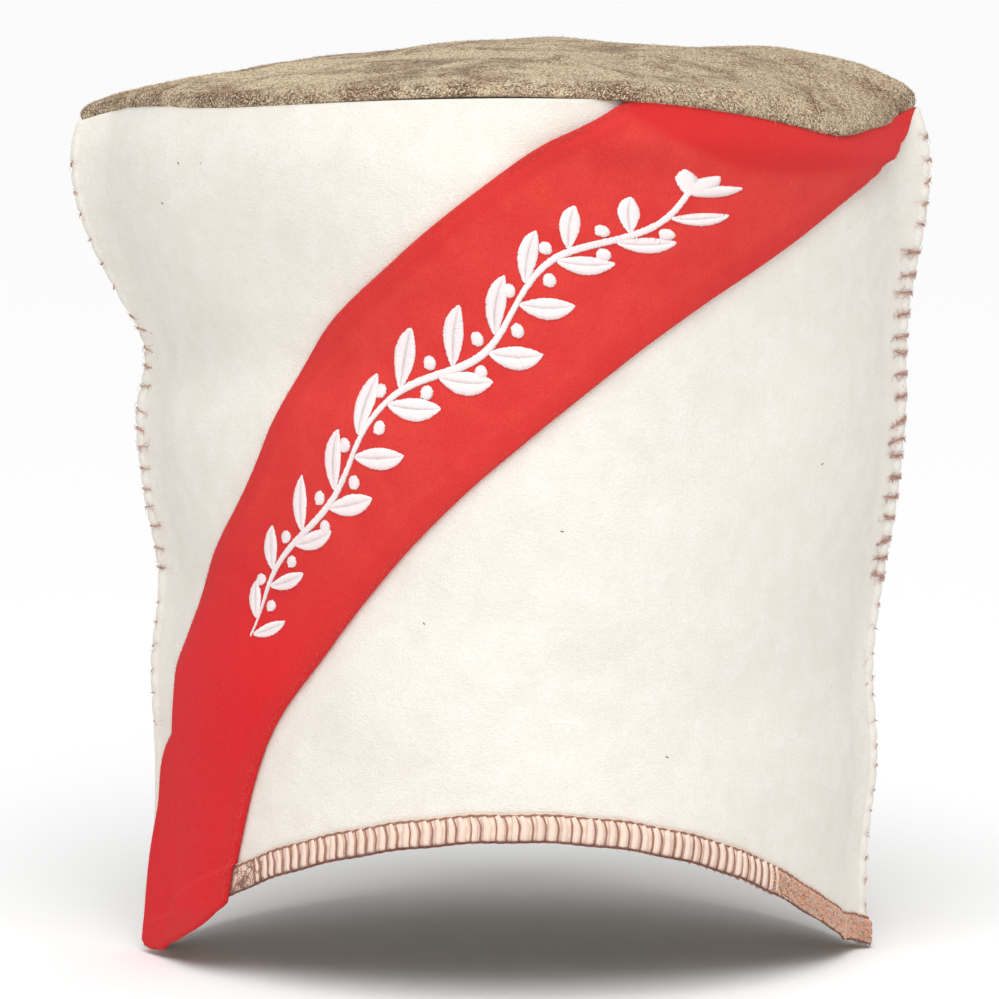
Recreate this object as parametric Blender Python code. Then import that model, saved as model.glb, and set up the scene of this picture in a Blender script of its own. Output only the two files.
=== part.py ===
"""Cossack hat in felt: two body panels, a domed crown, a red tongue and an overlocked hem.

The hat stands on its hem with its front towards -Y and its side seams at -X and +X.
Each panel meets the other at the sides in a flat flange. A place on a panel is given by
its column (0 at the left flange tip, COLUMNS at the right one) and its height.
"""

import math

import bmesh
import bpy
import numpy as np

MM = 0.001

# Body section, seen from above: flange, hollow fillet, round front, fillet, flange
FELT = 3.0 * MM
GAP = 0.3 * MM
SEAM_Y = (FELT + GAP) / 2
FLANGE = 2.0 * MM
FLANGE_STEPS = 1
FILLET_STEPS = 3
ROUND_STEPS = 24
SIDE_STEPS = FLANGE_STEPS + FILLET_STEPS
COLUMNS = 2 * SIDE_STEPS + ROUND_STEPS
PANEL_ROWS = 18

# Height, reach of the left seam, reach of the right seam, half depth and fillet radius in mm,
# and the angle in degrees at which the round front meets the fillet
BODY_ROWS = np.array([
    (0, 92.0, 96.0, 97.0, 4.5, 80),
    (25, 90.4, 96.0, 97.4, 4.5, 80),
    (50, 89.8, 98.6, 98.0, 4.5, 80),
    (75, 90.8, 97.4, 98.6, 4.5, 80),
    (98, 88.8, 100.0, 99.0, 4.5, 80),
    (120, 92.6, 103.6, 99.6, 4.5, 80),
    (140, 94.4, 105.4, 100.0, 4.5, 80),
    (158, 92.4, 105.6, 100.4, 4.8, 79),
    (172, 99.6, 106.8, 101.2, 5.5, 78),
    (184, 105.8, 109.2, 102.2, 6.5, 77),
    (198, 110.2, 111.2, 103.2, 7.5, 76),
    (210, 110.6, 111.0, 103.4, 8.0, 76),
    (222, 106.6, 107.6, 101.8, 8.0, 76),
])

# Distance right of the middle and height of the panel's top edge, in mm
TOP_ROWS = np.array([
    (-109, 215.4),
    (-100, 218.4),
    (-66, 220.8),
    (-22, 223.4),
    (12, 223.8),
    (54, 221.8),
    (76, 218.4),
    (89, 214.8),
    (98, 216.4),
    (108, 219.4),
])
TOP_LEVEL = 218 * MM

# The hem stands flat beside the seams and rises in an arch between them
HEM_RISE = 41.4 * MM
HEM_FLAT = 0.135
HEM_POWER_LEFT = 0.80
HEM_POWER_RIGHT = 0.92

# Soft dents: place, height in mm, reach sideways, reach upwards in mm, depth in mm
FRONT_DENTS = (
    (-0.62, 176.0, 0.26, 22.0, 3.0),
    (0.66, 150.0, 0.24, 30.0, 2.4),
    (-0.72, 110.0, 0.16, 36.0, 1.4),
)
BACK_DENTS = (
    (0.55, 170.0, 0.26, 26.0, 2.4),
    (-0.40, 120.0, 0.22, 34.0, 2.0),
)
DENT_FADE = 0.3

# Crown: a felt disc on the panels' top edges
CROWN_STEPS = 16
CROWN_FELT = 3.2 * MM
CROWN_RISE = 11.2 * MM
CROWN_POWER = 6.5
CROWN_LIP = 0.3 * MM
CROWN_LIP_ON_TONGUE = 2.8 * MM
CROWN_LIP_START = 0.25
CROWN_LIP_END = 0.40

# Share of the way from the crown's middle to its side rims, and the rise there in mm
CROWN_ROWS = np.array([
    (-1.00, 0.0),
    (-0.90, 2.6),
    (-0.80, 4.2),
    (-0.69, 5.4),
    (-0.58, 6.6),
    (-0.46, 7.5),
    (-0.34, 8.0),
    (-0.22, 9.0),
    (-0.10, 10.2),
    (0.02, 10.6),
    (0.14, 10.8),
    (0.26, 9.9),
    (0.40, 9.3),
    (0.54, 8.8),
    (0.66, 8.7),
    (0.76, 7.5),
    (0.86, 5.2),
    (0.94, 1.7),
    (1.00, 0.0),
])

# Tongue, in mm: run along it, then each edge's distance round the front from the middle
# and its height, for the upper edge and the lower edge
TONGUE_ROWS = np.array([
    (0, 33.1, 222.2, 156.5, 219.5),
    (6, 29.0, 221.2, 150.4, 213.0),
    (14, 24.0, 218.9, 127.0, 207.4),
    (31, 18.0, 216.6, 110.0, 199.7),
    (61, 9.5, 212.6, 67.4, 180.9),
    (89, -0.8, 205.2, 29.1, 162.6),
    (126, -26.4, 185.3, -2.3, 137.5),
    (163, -60.6, 157.6, -23.8, 117.3),
    (188, -77.3, 129.7, -38.0, 102.2),
    (220, -104.0, 99.9, -53.8, 82.1),
    (253, -126.0, 70.2, -70.5, 59.5),
    (266, -139.6, 56.9, -75.6, 49.2),
    (284, -142.8, 37.4, -80.2, 35.0),
    (310, -144.4, 3.0, -84.0, 21.0),
])
TONGUE_FELT = 1.8 * MM
TONGUE_GAP = 0.5 * MM
TONGUE_ACROSS = 12
TONGUE_ALONG = 40
TONGUE_ENDS = 0.16
TONGUE_TOP_GAP = 1.0 * MM
TONGUE_HEM_LIFT = 0.9 * MM
TONGUE_ROLL = 2.2 * MM
TONGUE_ROLL_DROP = 9.0 * MM
TONGUE_ROLL_REACH = 6.0 * MM
FLAP_STEPS = SIDE_STEPS + 1
FLAP_REACH = 0.8 * MM
FLAP_Y = 6.6 * MM

# Hem overlock: a thread channel under and round the felt
THREAD = 0.8 * MM
HEM_BAND = 7.0 * MM
HEM_ROOT = 3
HEM_RAMP_START = 4.0 * MM
HEM_RAMP = 10.0 * MM

# Reading a length round the section: columns past each side, and samples a column
SEARCH_MARGIN = 2
SEARCH_STEPS = 16

# Shading and joining
SHARP_DEGREES = 40
FELT_ROUGHNESS = 0.95
WELD = 0.001 * MM


def smooth(table, at):
    """Reads the table's other columns at places along its first one, on a smooth curve."""
    x = table[:, 0]
    y = table[:, 1:]
    slope = np.gradient(y, x, axis=0)
    at = np.atleast_1d(at)
    i = np.clip(np.searchsorted(x, at) - 1, 0, len(x) - 2)
    span = (x[i + 1] - x[i])[:, None]
    t = np.clip((at - x[i]) / (x[i + 1] - x[i]), 0, 1)[:, None]
    start = y[i] * (2 * t**3 - 3 * t**2 + 1) + slope[i] * span * (t**3 - 2 * t**2 + t)
    end = y[i + 1] * (3 * t**2 - 2 * t**3) + slope[i + 1] * span * (t**3 - t**2)
    return (start + end).T


def ease(t):
    """Eases from 0 to 1."""
    t = np.clip(t, 0, 1)
    return t * t * (3 - 2 * t)


def steps_from_side(column):
    """Which side a column is on, -1 or 1, and its steps from that side's flange tip."""
    side = np.where(column < COLUMNS / 2, -1.0, 1.0)
    return side, np.where(side < 0, column, COLUMNS - column)


def around(column):
    """Place of a column from side to side, -1 to 1, and its share of the depth, 0 to 1."""
    side, step = steps_from_side(column)
    turn = math.pi * np.maximum(step - SIDE_STEPS, 0) / ROUND_STEPS
    return side * np.cos(turn), np.sin(turn)


def section(column, height):
    """The front panel's middle line in plan: x, y and the outward normal's x, y."""
    left, right, depth, fillet, seam_turn = smooth(BODY_ROWS, height / MM)
    left, right, depth, fillet = left * MM, right * MM, depth * MM, fillet * MM
    seam_turn = np.radians(seam_turn)
    side, step = steps_from_side(column)
    root = (left + right) / 2 - FLANGE
    wide = root - fillet * np.sin(seam_turn)
    start = SEAM_Y + fillet * (1 - np.cos(seam_turn))
    deep = depth - start
    lean = deep / wide / np.tan(seam_turn)
    bend = seam_turn * (step - FLANGE_STEPS) / FILLET_STEPS
    turn = math.pi * (step - SIDE_STEPS) / ROUND_STEPS
    zones = [step <= FLANGE_STEPS, step <= SIDE_STEPS]
    x_flange = root + FLANGE * (1 - step / FLANGE_STEPS)
    x_fillet = root - fillet * np.sin(bend)
    x_round = wide * ((1 - lean) * np.cos(turn) + lean * (1 - np.sin(turn)))
    y_flange = SEAM_Y + 0 * step
    y_fillet = SEAM_Y + fillet * (1 - np.cos(bend))
    y_round = start + deep * np.sin(turn)
    nx_round = deep * np.cos(turn)
    ny_round = wide * ((1 - lean) * np.sin(turn) + lean * np.cos(turn))
    x = np.select(zones, [x_flange, x_fillet], x_round)
    y = np.select(zones, [y_flange, y_fillet], y_round)
    nx = np.select(zones, [0 * step, np.sin(bend)], nx_round)
    ny = np.select(zones, [1 + 0 * step, np.cos(bend)], ny_round)
    size = np.hypot(nx, ny)
    return (right - left) / 2 + side * x, -y, side * nx / size, -ny / size


def hem_height(column):
    """Height of the hem's underside."""
    place, share = around(column)
    power = (HEM_POWER_RIGHT + HEM_POWER_LEFT) / 2 + (HEM_POWER_RIGHT - HEM_POWER_LEFT) / 2 * place
    return HEM_RISE * np.clip((share - HEM_FLAT) / (1 - HEM_FLAT), 0, 1) ** power


def top_height(column):
    """Height of a panel's top edge."""
    x, _, _, _ = section(column, np.full(len(column), TOP_LEVEL))
    return smooth(TOP_ROWS, x / MM)[0] * MM


def dent_depth(column, height, dents):
    """How far the dents press the felt inwards at a place. The seams keep none."""
    place, share = around(column)
    depth = 0 * height
    for middle, level, reach, upward, deepest in dents:
        side_part = ((place - middle) / reach) ** 2
        height_part = ((height - level * MM) / (upward * MM)) ** 2
        depth = depth + deepest * MM * np.exp(-side_part - height_part)
    return depth * ease(share / DENT_FADE)


def skin(column, height, offset, dents):
    """Points at an offset outside the front panel's middle surface, as rows of x, y, z."""
    x, y, nx, ny = section(column, height)
    out = offset - dent_depth(column, height, dents)
    return np.stack([x + nx * out, y + ny * out, height + 0 * x], -1)


def column_at(distance, height):
    """The column that lies a distance round the front from the middle, at one height."""
    samples = SEARCH_STEPS * (COLUMNS + 2 * SEARCH_MARGIN) + 1
    columns = np.linspace(-SEARCH_MARGIN, COLUMNS + SEARCH_MARGIN, samples)
    x, y, _, _ = section(columns, np.full_like(columns, height))
    length = np.concatenate([[0], np.cumsum(np.hypot(np.diff(x), np.diff(y)))])
    return np.interp(distance, length - length[len(length) // 2], columns)


def felt_material(name, red, green, blue):
    """A plain felt material from a screen colour of 0 to 255."""
    material = bpy.data.materials.new(name)
    material.use_nodes = True
    shader = material.node_tree.nodes["Principled BSDF"]
    linear = [((c / 255 + 0.055) / 1.055) ** 2.4 for c in (red, green, blue)]
    shader.inputs["Base Color"].default_value = (*linear, 1)
    shader.inputs["Roughness"].default_value = FELT_ROUGHNESS
    shader.inputs["Metallic"].default_value = 0
    return material


def add_object(name, cage, material, collection):
    """Turns a finished bmesh into a smooth object in the hat's collection."""
    bmesh.ops.recalc_face_normals(cage, faces=cage.faces)
    mesh = bpy.data.meshes.new(name)
    cage.to_mesh(mesh)
    cage.free()
    mesh.materials.append(material)
    mesh.shade_smooth()
    mesh.set_sharp_from_angle(angle=math.radians(SHARP_DEGREES))
    collection.objects.link(bpy.data.objects.new(name, mesh))


def move_vertices(vertices, points):
    """Sets each vertex to its point."""
    for vertex, point in zip(vertices, points):
        vertex.co = point


def grid_places(cage):
    """Each vertex's place on a unit grid, from 0 to 1 both ways."""
    flat = np.array([vertex.co for vertex in cage.verts])
    return flat[:, 0] + 0.5, flat[:, 1] + 0.5


def add_shell(name, across, along, place, material, collection):
    """A closed shell on a grid. place(u, v, outer) gives the points of its two faces."""
    cage = bmesh.new()
    bmesh.ops.create_grid(cage, x_segments=across, y_segments=along, size=0.5)
    grown = bmesh.ops.extrude_face_region(cage, geom=cage.faces[:] + cage.edges[:] + cage.verts[:])
    outer_vertices = {item for item in grown["geom"] if isinstance(item, bmesh.types.BMVert)}
    outer = np.array([vertex in outer_vertices for vertex in cage.verts])
    u, v = grid_places(cage)
    move_vertices(cage.verts, place(u, v, outer))
    add_object(name, cage, material, collection)


def panel_places(u, v, outer, dents, back):
    """Body panel: u runs from flange to flange and v from the hem to the top edge."""
    column = u * COLUMNS
    low = hem_height(column) + THREAD + GAP
    height = low + v * (top_height(column) - low)
    points = skin(column, height, np.where(outer, 0.5, -0.5) * FELT, dents)
    if back:
        points[:, 1] *= -1
    return points


def crown_lip(column, back):
    """How far the crown's rim reaches past the panel's outer face."""
    on_tongue = ease((around(column)[0] - CROWN_LIP_START) / (CROWN_LIP_END - CROWN_LIP_START))
    return CROWN_LIP + np.where(back, 0, on_tongue) * (CROWN_LIP_ON_TONGUE - CROWN_LIP)


def crown_rim(column, back):
    """Underside of the crown's rim above a column of the front or back panel."""
    height = top_height(column)
    dents = 0 * height
    for table, used in ((BACK_DENTS, back), (FRONT_DENTS, ~back)):
        dents = dents + np.where(used, dent_depth(column, height, table), 0)
    rim = skin(column, height, FELT / 2 + crown_lip(column, back) - dents, ())
    rim[:, 1] *= np.where(back, -1, 1)
    rim[:, 2] += GAP
    return rim


def crown_places(u, v, outer):
    """Crown: u runs from side to side and v from the front rim to the back rim."""
    quarter = (COLUMNS - CROWN_STEPS) / 2
    step = v * (CROWN_STEPS + 1)
    behind = v > 0.5
    side_column = np.where(behind, step - quarter - 1, quarter - step)
    no = np.zeros(len(u), bool)
    front = crown_rim(quarter + CROWN_STEPS * u, no)
    rear = crown_rim(quarter + CROWN_STEPS * u, ~no)
    left = crown_rim(side_column, behind)
    right = crown_rim(COLUMNS - side_column, behind)
    corner = [
        crown_rim(np.full_like(u, c), b)
        for c, b in ((quarter, no), (COLUMNS - quarter, no), (quarter, ~no), (COLUMNS - quarter, ~no))
    ]
    u, v = u[:, None], v[:, None]
    points = (1 - v) * front + v * rear + (1 - u) * left + u * right
    points -= (1 - u) * (1 - v) * corner[0] + u * (1 - v) * corner[1]
    points -= (1 - u) * v * corner[2] + u * v * corner[3]
    a, b = 2 * u[:, 0] - 1, 2 * v[:, 0] - 1
    # The ridge line from side to side follows the table and falls to the rim front and back
    ridge = smooth(CROWN_ROWS, a)[0] * MM
    a = (1 - ridge / CROWN_RISE) ** (1 / CROWN_POWER)
    edge = np.sqrt(a**2 + b**2 - a**2 * b**2)
    points[:, 2] += CROWN_RISE * (1 - edge**CROWN_POWER)
    points[:, 2] += np.where(outer, CROWN_FELT, 0)
    return points


def tongue_offset(column, height):
    """Distance from the front panel's middle surface to the tongue's inner face."""
    above_band = height - hem_height(column) - HEM_BAND
    on_band = 1 - ease((above_band - HEM_RAMP_START) / HEM_RAMP)
    below_top = top_height(column) - height
    roll = TONGUE_ROLL * np.exp(-(((below_top - TONGUE_ROLL_DROP) / TONGUE_ROLL_REACH) ** 2))
    return FELT / 2 + TONGUE_GAP + on_band * (GAP + THREAD) + roll


def tongue_route(u, v):
    """Column and height of a place on the tongue: u runs across it and v along it."""
    upper, upper_height, lower, lower_height = smooth(TONGUE_ROWS, v * TONGUE_ROWS[-1, 0]) * MM
    distance = upper + u * (lower - upper)
    height = upper_height + u * (lower_height - upper_height)
    column = np.array([column_at(d, h) for d, h in zip(distance, height)])
    at_top = np.clip(1 - v / TONGUE_ENDS, 0, 1) ** 2
    at_hem = np.clip(1 - (1 - v) / TONGUE_ENDS, 0, 1) ** 2
    first, last = TONGUE_ROWS[0] * MM, TONGUE_ROWS[-1] * MM
    top_line = first[2] + u * (first[4] - first[2])
    hem_line = last[2] + u * (last[4] - last[2])
    height = height + at_top * (top_height(column) - TONGUE_TOP_GAP - top_line)
    height = height + at_hem * (hem_height(column) + TONGUE_HEM_LIFT - hem_line)
    return column, height


def tongue_surface(column, height, outer):
    """Points of the tongue's inner or outer face over a column and height of the front panel."""
    side, step = steps_from_side(column)
    # Beside a seam the felt leaves the wall and bridges over the flange as a flap
    wall_column = np.clip(column, FLAP_STEPS, COLUMNS - FLAP_STEPS)
    points = skin(wall_column, height, tongue_offset(column, height) + TONGUE_FELT / 2, FRONT_DENTS)
    _, _, nx, ny = section(wall_column, height)
    tip_x, _, _, _ = section(np.where(side < 0, 0.0, COLUMNS), height)
    out = np.stack([tip_x + side * FLAP_REACH - points[:, 0], -FLAP_Y - points[:, 1]])
    along_wall = side * np.stack([-ny, nx]) * np.hypot(*out) / 2
    t = np.clip((FLAP_STEPS - step) / FLAP_STEPS, 0, None)
    run = (1 - 2 * t) * along_wall + t * out
    normal = side * np.stack([run[1], -run[0]]) / np.hypot(*run)
    thick = np.where(outer, 0.5, -0.5) * TONGUE_FELT
    points[:, :2] += (2 * t * (1 - t) * along_wall + t**2 * out + normal * thick).T
    return points


def tongue_places(u, v, outer):
    """Tongue: u runs across it from its upper edge and v along it from the crown."""
    return tongue_surface(*tongue_route(u, v), outer)


def channel_point(station, back, offset, lift):
    """A corner of the hem channel's section at one station of the front or back hem."""
    column = np.array([float(station)])
    side, step = steps_from_side(column)
    inside = offset < 0 and step[0] < HEM_ROOT
    if inside:
        column = np.where(side < 0, HEM_ROOT, COLUMNS - HEM_ROOT)
    dents = BACK_DENTS if back else FRONT_DENTS
    point = skin(column, hem_height(column) + lift, offset, dents)[0]
    if inside:
        point[1] *= (step[0] + 0.5) / (HEM_ROOT + 0.5)
    if step[0] == 0 and offset > 0:
        point[0] += side[0] * (offset - FELT / 2)
    if back:
        point[1] *= -1
    return point


def build_hem(material, collection):
    """Hem overlock: a thread channel whose section runs once round the hem."""
    outer = FELT / 2 + GAP + THREAD
    inner = FELT / 2 + GAP
    profile = [(outer, 0), (outer, HEM_BAND), (inner, HEM_BAND), (inner, THREAD)]
    profile += [(-offset, lift) for offset, lift in reversed(profile)]
    stations = [(s, False) for s in range(COLUMNS + 1)]
    stations += [(s, True) for s in range(COLUMNS, -1, -1)]
    cage = bmesh.new()
    bmesh.ops.create_grid(cage, x_segments=len(profile), y_segments=len(stations), size=0.5)
    u, v = grid_places(cage)
    corners = np.rint(u * len(profile)).astype(int) % len(profile)
    turns = np.rint(v * len(stations)).astype(int) % len(stations)
    points = [channel_point(*stations[turn], *profile[corner]) for corner, turn in zip(corners, turns)]
    move_vertices(cage.verts, points)
    bmesh.ops.remove_doubles(cage, verts=cage.verts, dist=WELD)
    add_object("hem_overlock", cage, material, collection)


def build_panel(name, dents, back, material, collection):
    """One of the two body panels."""

    def place(u, v, outer):
        return panel_places(u, v, outer, dents, back)

    add_shell(name, COLUMNS, PANEL_ROWS, place, material, collection)


def build_hat():
    """Clears the scene and builds the hat in its own collection."""
    for obj in list(bpy.data.objects):
        bpy.data.objects.remove(obj)
    collection = bpy.data.collections.new("cossack_hat")
    bpy.context.scene.collection.children.link(collection)
    white = felt_material("white_felt", 248, 244, 235)
    marl = felt_material("grey_brown_marl_felt", 182, 162, 137)
    red = felt_material("red_felt", 224, 71, 63)
    thread = felt_material("peach_brown_thread", 227, 201, 187)
    build_panel("front_panel", FRONT_DENTS, False, white, collection)
    build_panel("back_panel", BACK_DENTS, True, white, collection)
    add_shell("crown", CROWN_STEPS, CROWN_STEPS + 1, crown_places, marl, collection)
    add_shell("tongue", TONGUE_ACROSS, TONGUE_ALONG, tongue_places, red, collection)
    build_hem(thread, collection)


build_hat()
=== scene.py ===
"""Looks of the felt cossack hat: fine felt pieces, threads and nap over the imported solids.

The hat stands on its hem with its front towards -Y. A place on a body panel is given by its
column (0 at the left seam's tip, HatForm.columns at the right one) and its height. The tables
are in millimetres, as in the part's source, and everything that is built is in metres.
"""

from __future__ import annotations

import logging
import math
from collections.abc import Callable
from dataclasses import dataclass, field
from enum import Enum

import bmesh
import bpy
import numpy as np
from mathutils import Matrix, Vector

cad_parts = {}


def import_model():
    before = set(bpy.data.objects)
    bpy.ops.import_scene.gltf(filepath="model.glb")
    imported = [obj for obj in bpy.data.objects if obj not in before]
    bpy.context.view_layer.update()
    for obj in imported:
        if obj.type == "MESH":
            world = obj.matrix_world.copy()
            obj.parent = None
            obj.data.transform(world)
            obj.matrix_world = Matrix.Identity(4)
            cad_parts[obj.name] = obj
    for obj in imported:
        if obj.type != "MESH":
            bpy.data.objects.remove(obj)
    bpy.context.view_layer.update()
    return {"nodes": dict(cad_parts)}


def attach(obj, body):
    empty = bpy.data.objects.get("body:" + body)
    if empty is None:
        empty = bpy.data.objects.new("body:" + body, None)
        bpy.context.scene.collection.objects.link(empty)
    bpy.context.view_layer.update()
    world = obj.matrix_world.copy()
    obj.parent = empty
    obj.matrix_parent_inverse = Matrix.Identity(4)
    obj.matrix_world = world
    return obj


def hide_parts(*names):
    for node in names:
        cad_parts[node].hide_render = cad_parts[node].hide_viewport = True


LOG = logging.getLogger("hat")
MM = 0.001
BODY = "root"
EDGE = 0.04  # share of the thickness that is left at a felt's cut edge

Array = np.ndarray
Cage = bmesh.types.BMesh
Colour = tuple[int, int, int]
Feeds = dict[int | str, object]
Material = bpy.types.Material
Node = bpy.types.Node
Piece = bpy.types.Object
Socket = bpy.types.NodeSocket
Surface = Callable[[Array, Array], Array]
Tree = bpy.types.NodeTree

# Height, reach of the left seam, reach of the right seam, half depth and fillet radius,
# and the angle in degrees at which the round front meets the fillet
BODY_ROWS = np.array([
    (0, 92.0, 96.0, 97.0, 4.5, 80),
    (25, 90.4, 96.0, 97.4, 4.5, 80),
    (50, 89.8, 98.6, 98.0, 4.5, 80),
    (75, 90.8, 97.4, 98.6, 4.5, 80),
    (98, 88.8, 100.0, 99.0, 4.5, 80),
    (120, 92.6, 103.6, 99.6, 4.5, 80),
    (140, 94.4, 105.4, 100.0, 4.5, 80),
    (158, 92.4, 105.6, 100.4, 4.8, 79),
    (172, 99.6, 106.8, 101.2, 5.5, 78),
    (184, 105.8, 109.2, 102.2, 6.5, 77),
    (198, 110.2, 111.2, 103.2, 7.5, 76),
    (210, 110.6, 111.0, 103.4, 8.0, 76),
    (222, 106.6, 107.6, 101.8, 8.0, 76),
])

# Distance right of the middle and height of the panels' top edge
TOP_ROWS = np.array([
    (-109, 215.4), (-100, 218.4), (-66, 220.8), (-22, 223.4), (12, 223.8),
    (54, 221.8), (76, 218.4), (89, 214.8), (98, 216.4), (108, 219.4),
])  # fmt: skip

# Run along the tongue, then the distance round the front and the height of its upper edge
# and of its lower edge
TONGUE_ROWS = np.array([
    (0, 33.1, 222.2, 156.5, 219.5),
    (6, 29.0, 221.2, 150.4, 213.0),
    (14, 24.0, 218.9, 127.0, 207.4),
    (31, 18.0, 216.6, 110.0, 199.7),
    (61, 9.5, 212.6, 67.4, 180.9),
    (89, -0.8, 205.2, 29.1, 162.6),
    (126, -26.4, 185.3, -2.3, 137.5),
    (163, -60.6, 157.6, -23.8, 117.3),
    (188, -77.3, 129.7, -38.0, 102.2),
    (220, -104.0, 99.9, -53.8, 82.1),
    (253, -126.0, 70.2, -70.5, 59.5),
    (266, -139.6, 56.9, -75.6, 49.2),
    (284, -142.8, 37.4, -80.2, 35.0),
    (310, -144.4, 3.0, -84.0, 21.0),
])

# Columns from a seam, and how far the hem curls up there at the left and at the right
CORNER_ROWS = np.array([
    (0, 0.0, 0.0), (1, 0.8, 1.7), (2, 1.6, 2.7), (3, 2.5, 3.3), (4, 3.5, 3.7), (5, 4.5, 4.1),
    (6, 2.6, 2.1), (7, 0.8, 0.6), (8, 0.0, 0.1), (9, 0.0, 0.0),
])  # fmt: skip

# Places across the tongue in hundredths, and the height of its end there
END_ROWS = np.array([
    (0, 0.9), (8, 1.6), (16, 2.6), (24, 3.5), (32, 4.2), (40, 4.8), (48, 5.4),
    (57, 7.0), (65, 8.8), (74, 10.8), (86, 14.3), (93, 17.0), (100, 19.3),
])  # fmt: skip

# Share of the way from the crown's middle to its side rims, and the rise there
CROWN_ROWS = np.array([
    (-1.00, 0.0), (-0.90, 2.6), (-0.80, 4.2), (-0.69, 5.4), (-0.58, 6.6), (-0.46, 7.5),
    (-0.34, 8.0), (-0.22, 9.0), (-0.10, 10.2), (0.02, 10.6), (0.14, 10.8), (0.26, 9.9),
    (0.40, 9.3), (0.54, 8.8), (0.66, 8.7), (0.76, 7.5), (0.86, 5.2), (0.94, 1.7), (1.00, 0.0),
])  # fmt: skip

# Distance right of the middle, and how far the crown's rim hangs down in front
HANG_ROWS = np.array([
    (-110, 0.6), (-95, 1.2), (-77, 0.7), (-50, 1.1), (-20, 0.5), (0, 0.5), (21, 1.1), (43, 2.4),
    (54, 3.4), (63, 4.2), (71, 5.2), (78, 6.0), (83, 5.8), (88, 4.0), (93, 1.9), (99, 1.6),
    (110, 1.2),
])  # fmt: skip

# Distance right of the middle, and how far the painted shade below the crown's rim reaches down the
# tongue from its top
CROWN_SHADE_ROWS = np.array([
    (28, 2.0), (36, 7.3), (44, 11.2), (54, 15.0), (63, 16.0), (76, 14.5), (83, 12.0), (88, 10.0),
    (95, 10.0), (112, 10.0),
])  # fmt: skip

# Place on the front panel of each speck of lint, round it and up it
LINT = np.array([
    (0.423, 0.30), (0.622, 0.13), (0.752, 0.56), (0.248, 0.93), (0.27, 0.93), (0.228, 0.88),
    (0.53, 0.42),
])  # fmt: skip

# Section of the covered hem, as offset from the felt's middle and height
EDGE_ROWS = np.array([
    (1.62, 1.05), (1.62, 6.9), (1.75, 7.12), (2.0, 7.12), (2.2, 6.9), (2.25, 5.0), (2.25, 3.0),
    (2.2, 1.3), (2.0, 0.75), (1.6, 0.45), (0.9, 0.36), (0.0, 0.34),
])  # fmt: skip

# Route of a thread round the covered hem, in the same way
WRAP_ROWS = np.array([
    (2.30, 7.05), (2.48, 6.2), (2.52, 4.6), (2.52, 3.0), (2.46, 1.6), (2.20, 0.8), (1.60, 0.46),
    (0.60, 0.38),
])  # fmt: skip


class Half(Enum):
    """The two body panels."""

    FRONT = "front"
    BACK = "back"


class Side(Enum):
    """The two side seams, as seen from the front."""

    LEFT = -1
    RIGHT = 1


@dataclass(frozen=True)
class Fold:
    """A soft dent in a body panel."""

    place: float  # its middle from the left seam, -1, to the right seam, 1
    height: float  # the height of its middle, in mm
    reach: float  # its half width, as a share of the half panel
    upward: float  # its half height, in mm
    depth: float  # how far it goes in, in mm; a negative depth swells out


@dataclass(frozen=True)
class Ripple:
    """A long, low wave of the felt."""

    upward: float  # its length up the panel, in mm
    columns: float  # its length round the panel, in columns
    phase: float  # where it starts, in radians
    depth: float  # its height, in mm


FOLDS = {
    Half.FRONT: (
        Fold(-0.62, 176, 0.26, 22, 3.0),
        Fold(0.66, 150, 0.24, 30, 2.4),
        Fold(-0.72, 110, 0.16, 36, 1.4),
        Fold(-0.44, 196, 0.10, 9, -0.5),
        Fold(0.30, 60, 0.30, 40, 0.7),
        Fold(-0.10, 212, 0.22, 5, 0.4),
    ),
    Half.BACK: (
        Fold(0.55, 170, 0.26, 26, 2.4),
        Fold(-0.40, 120, 0.22, 34, 2.0),
        Fold(0.10, 70, 0.30, 36, 0.8),
    ),
}
RIPPLES = (
    Ripple(64, 9.0, 0.4, 0.20),
    Ripple(38, -5.5, 2.1, 0.13),
    Ripple(92, 3.7, 4.0, 0.12),
    Ripple(24, 7.3, 1.3, 0.06),
)


@dataclass(frozen=True)
class SeamRun:
    """A stretch of overcasting on a side seam."""

    side: Side
    low: float  # its lowest height
    high: float  # its highest height
    pitch: float  # distance between stitches
    reach: float  # how far a stitch comes in from the seam's tip, in columns
    radius: float  # half thickness of the thread
    halo: int  # number of loose fibres at each stitch
    seed: int

    def levels(self) -> Array:
        """Heights of the stitches, a little uneven."""
        even = np.arange(self.low, self.high, self.pitch)
        return even + np.random.default_rng(self.seed).normal(0, 0.35 * MM, len(even))


SEAM_RUNS = (
    SeamRun(Side.RIGHT, 97 * MM, 186 * MM, 5.3 * MM, 1.9, 0.26 * MM, 60, 71),
    SeamRun(Side.RIGHT, 189 * MM, 213 * MM, 5.7 * MM, 0.8, 0.26 * MM, 16, 72),
    SeamRun(Side.RIGHT, 12 * MM, 94 * MM, 6.0 * MM, 0.5, 0.15 * MM, 3, 73),
    SeamRun(Side.LEFT, 100 * MM, 163 * MM, 5.2 * MM, 1.4, 0.2 * MM, 12, 74),
    SeamRun(Side.LEFT, 166 * MM, 206 * MM, 6.3 * MM, 0.6, 0.22 * MM, 5, 75),
    SeamRun(Side.LEFT, 60 * MM, 97 * MM, 6.3 * MM, 0.5, 0.16 * MM, 3, 76),
)


def ease(t: Array) -> Array:
    """Eases from 0 to 1 as t does, and is level outside that span."""
    t = np.clip(t, 0, 1)
    return t * t * (3 - 2 * t)


def bell(t: Array) -> Array:
    """A soft swell that is 1 at 0 and has faded out at about -2 and 2."""
    return np.exp(-(t**2))


def dome(distance: Array, radius: float) -> Array:
    """Share of the full height at distances in from an edge of some radius."""
    return np.sqrt(1 - (1 - np.clip(distance / radius, 0, 1)) ** 2)


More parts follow.
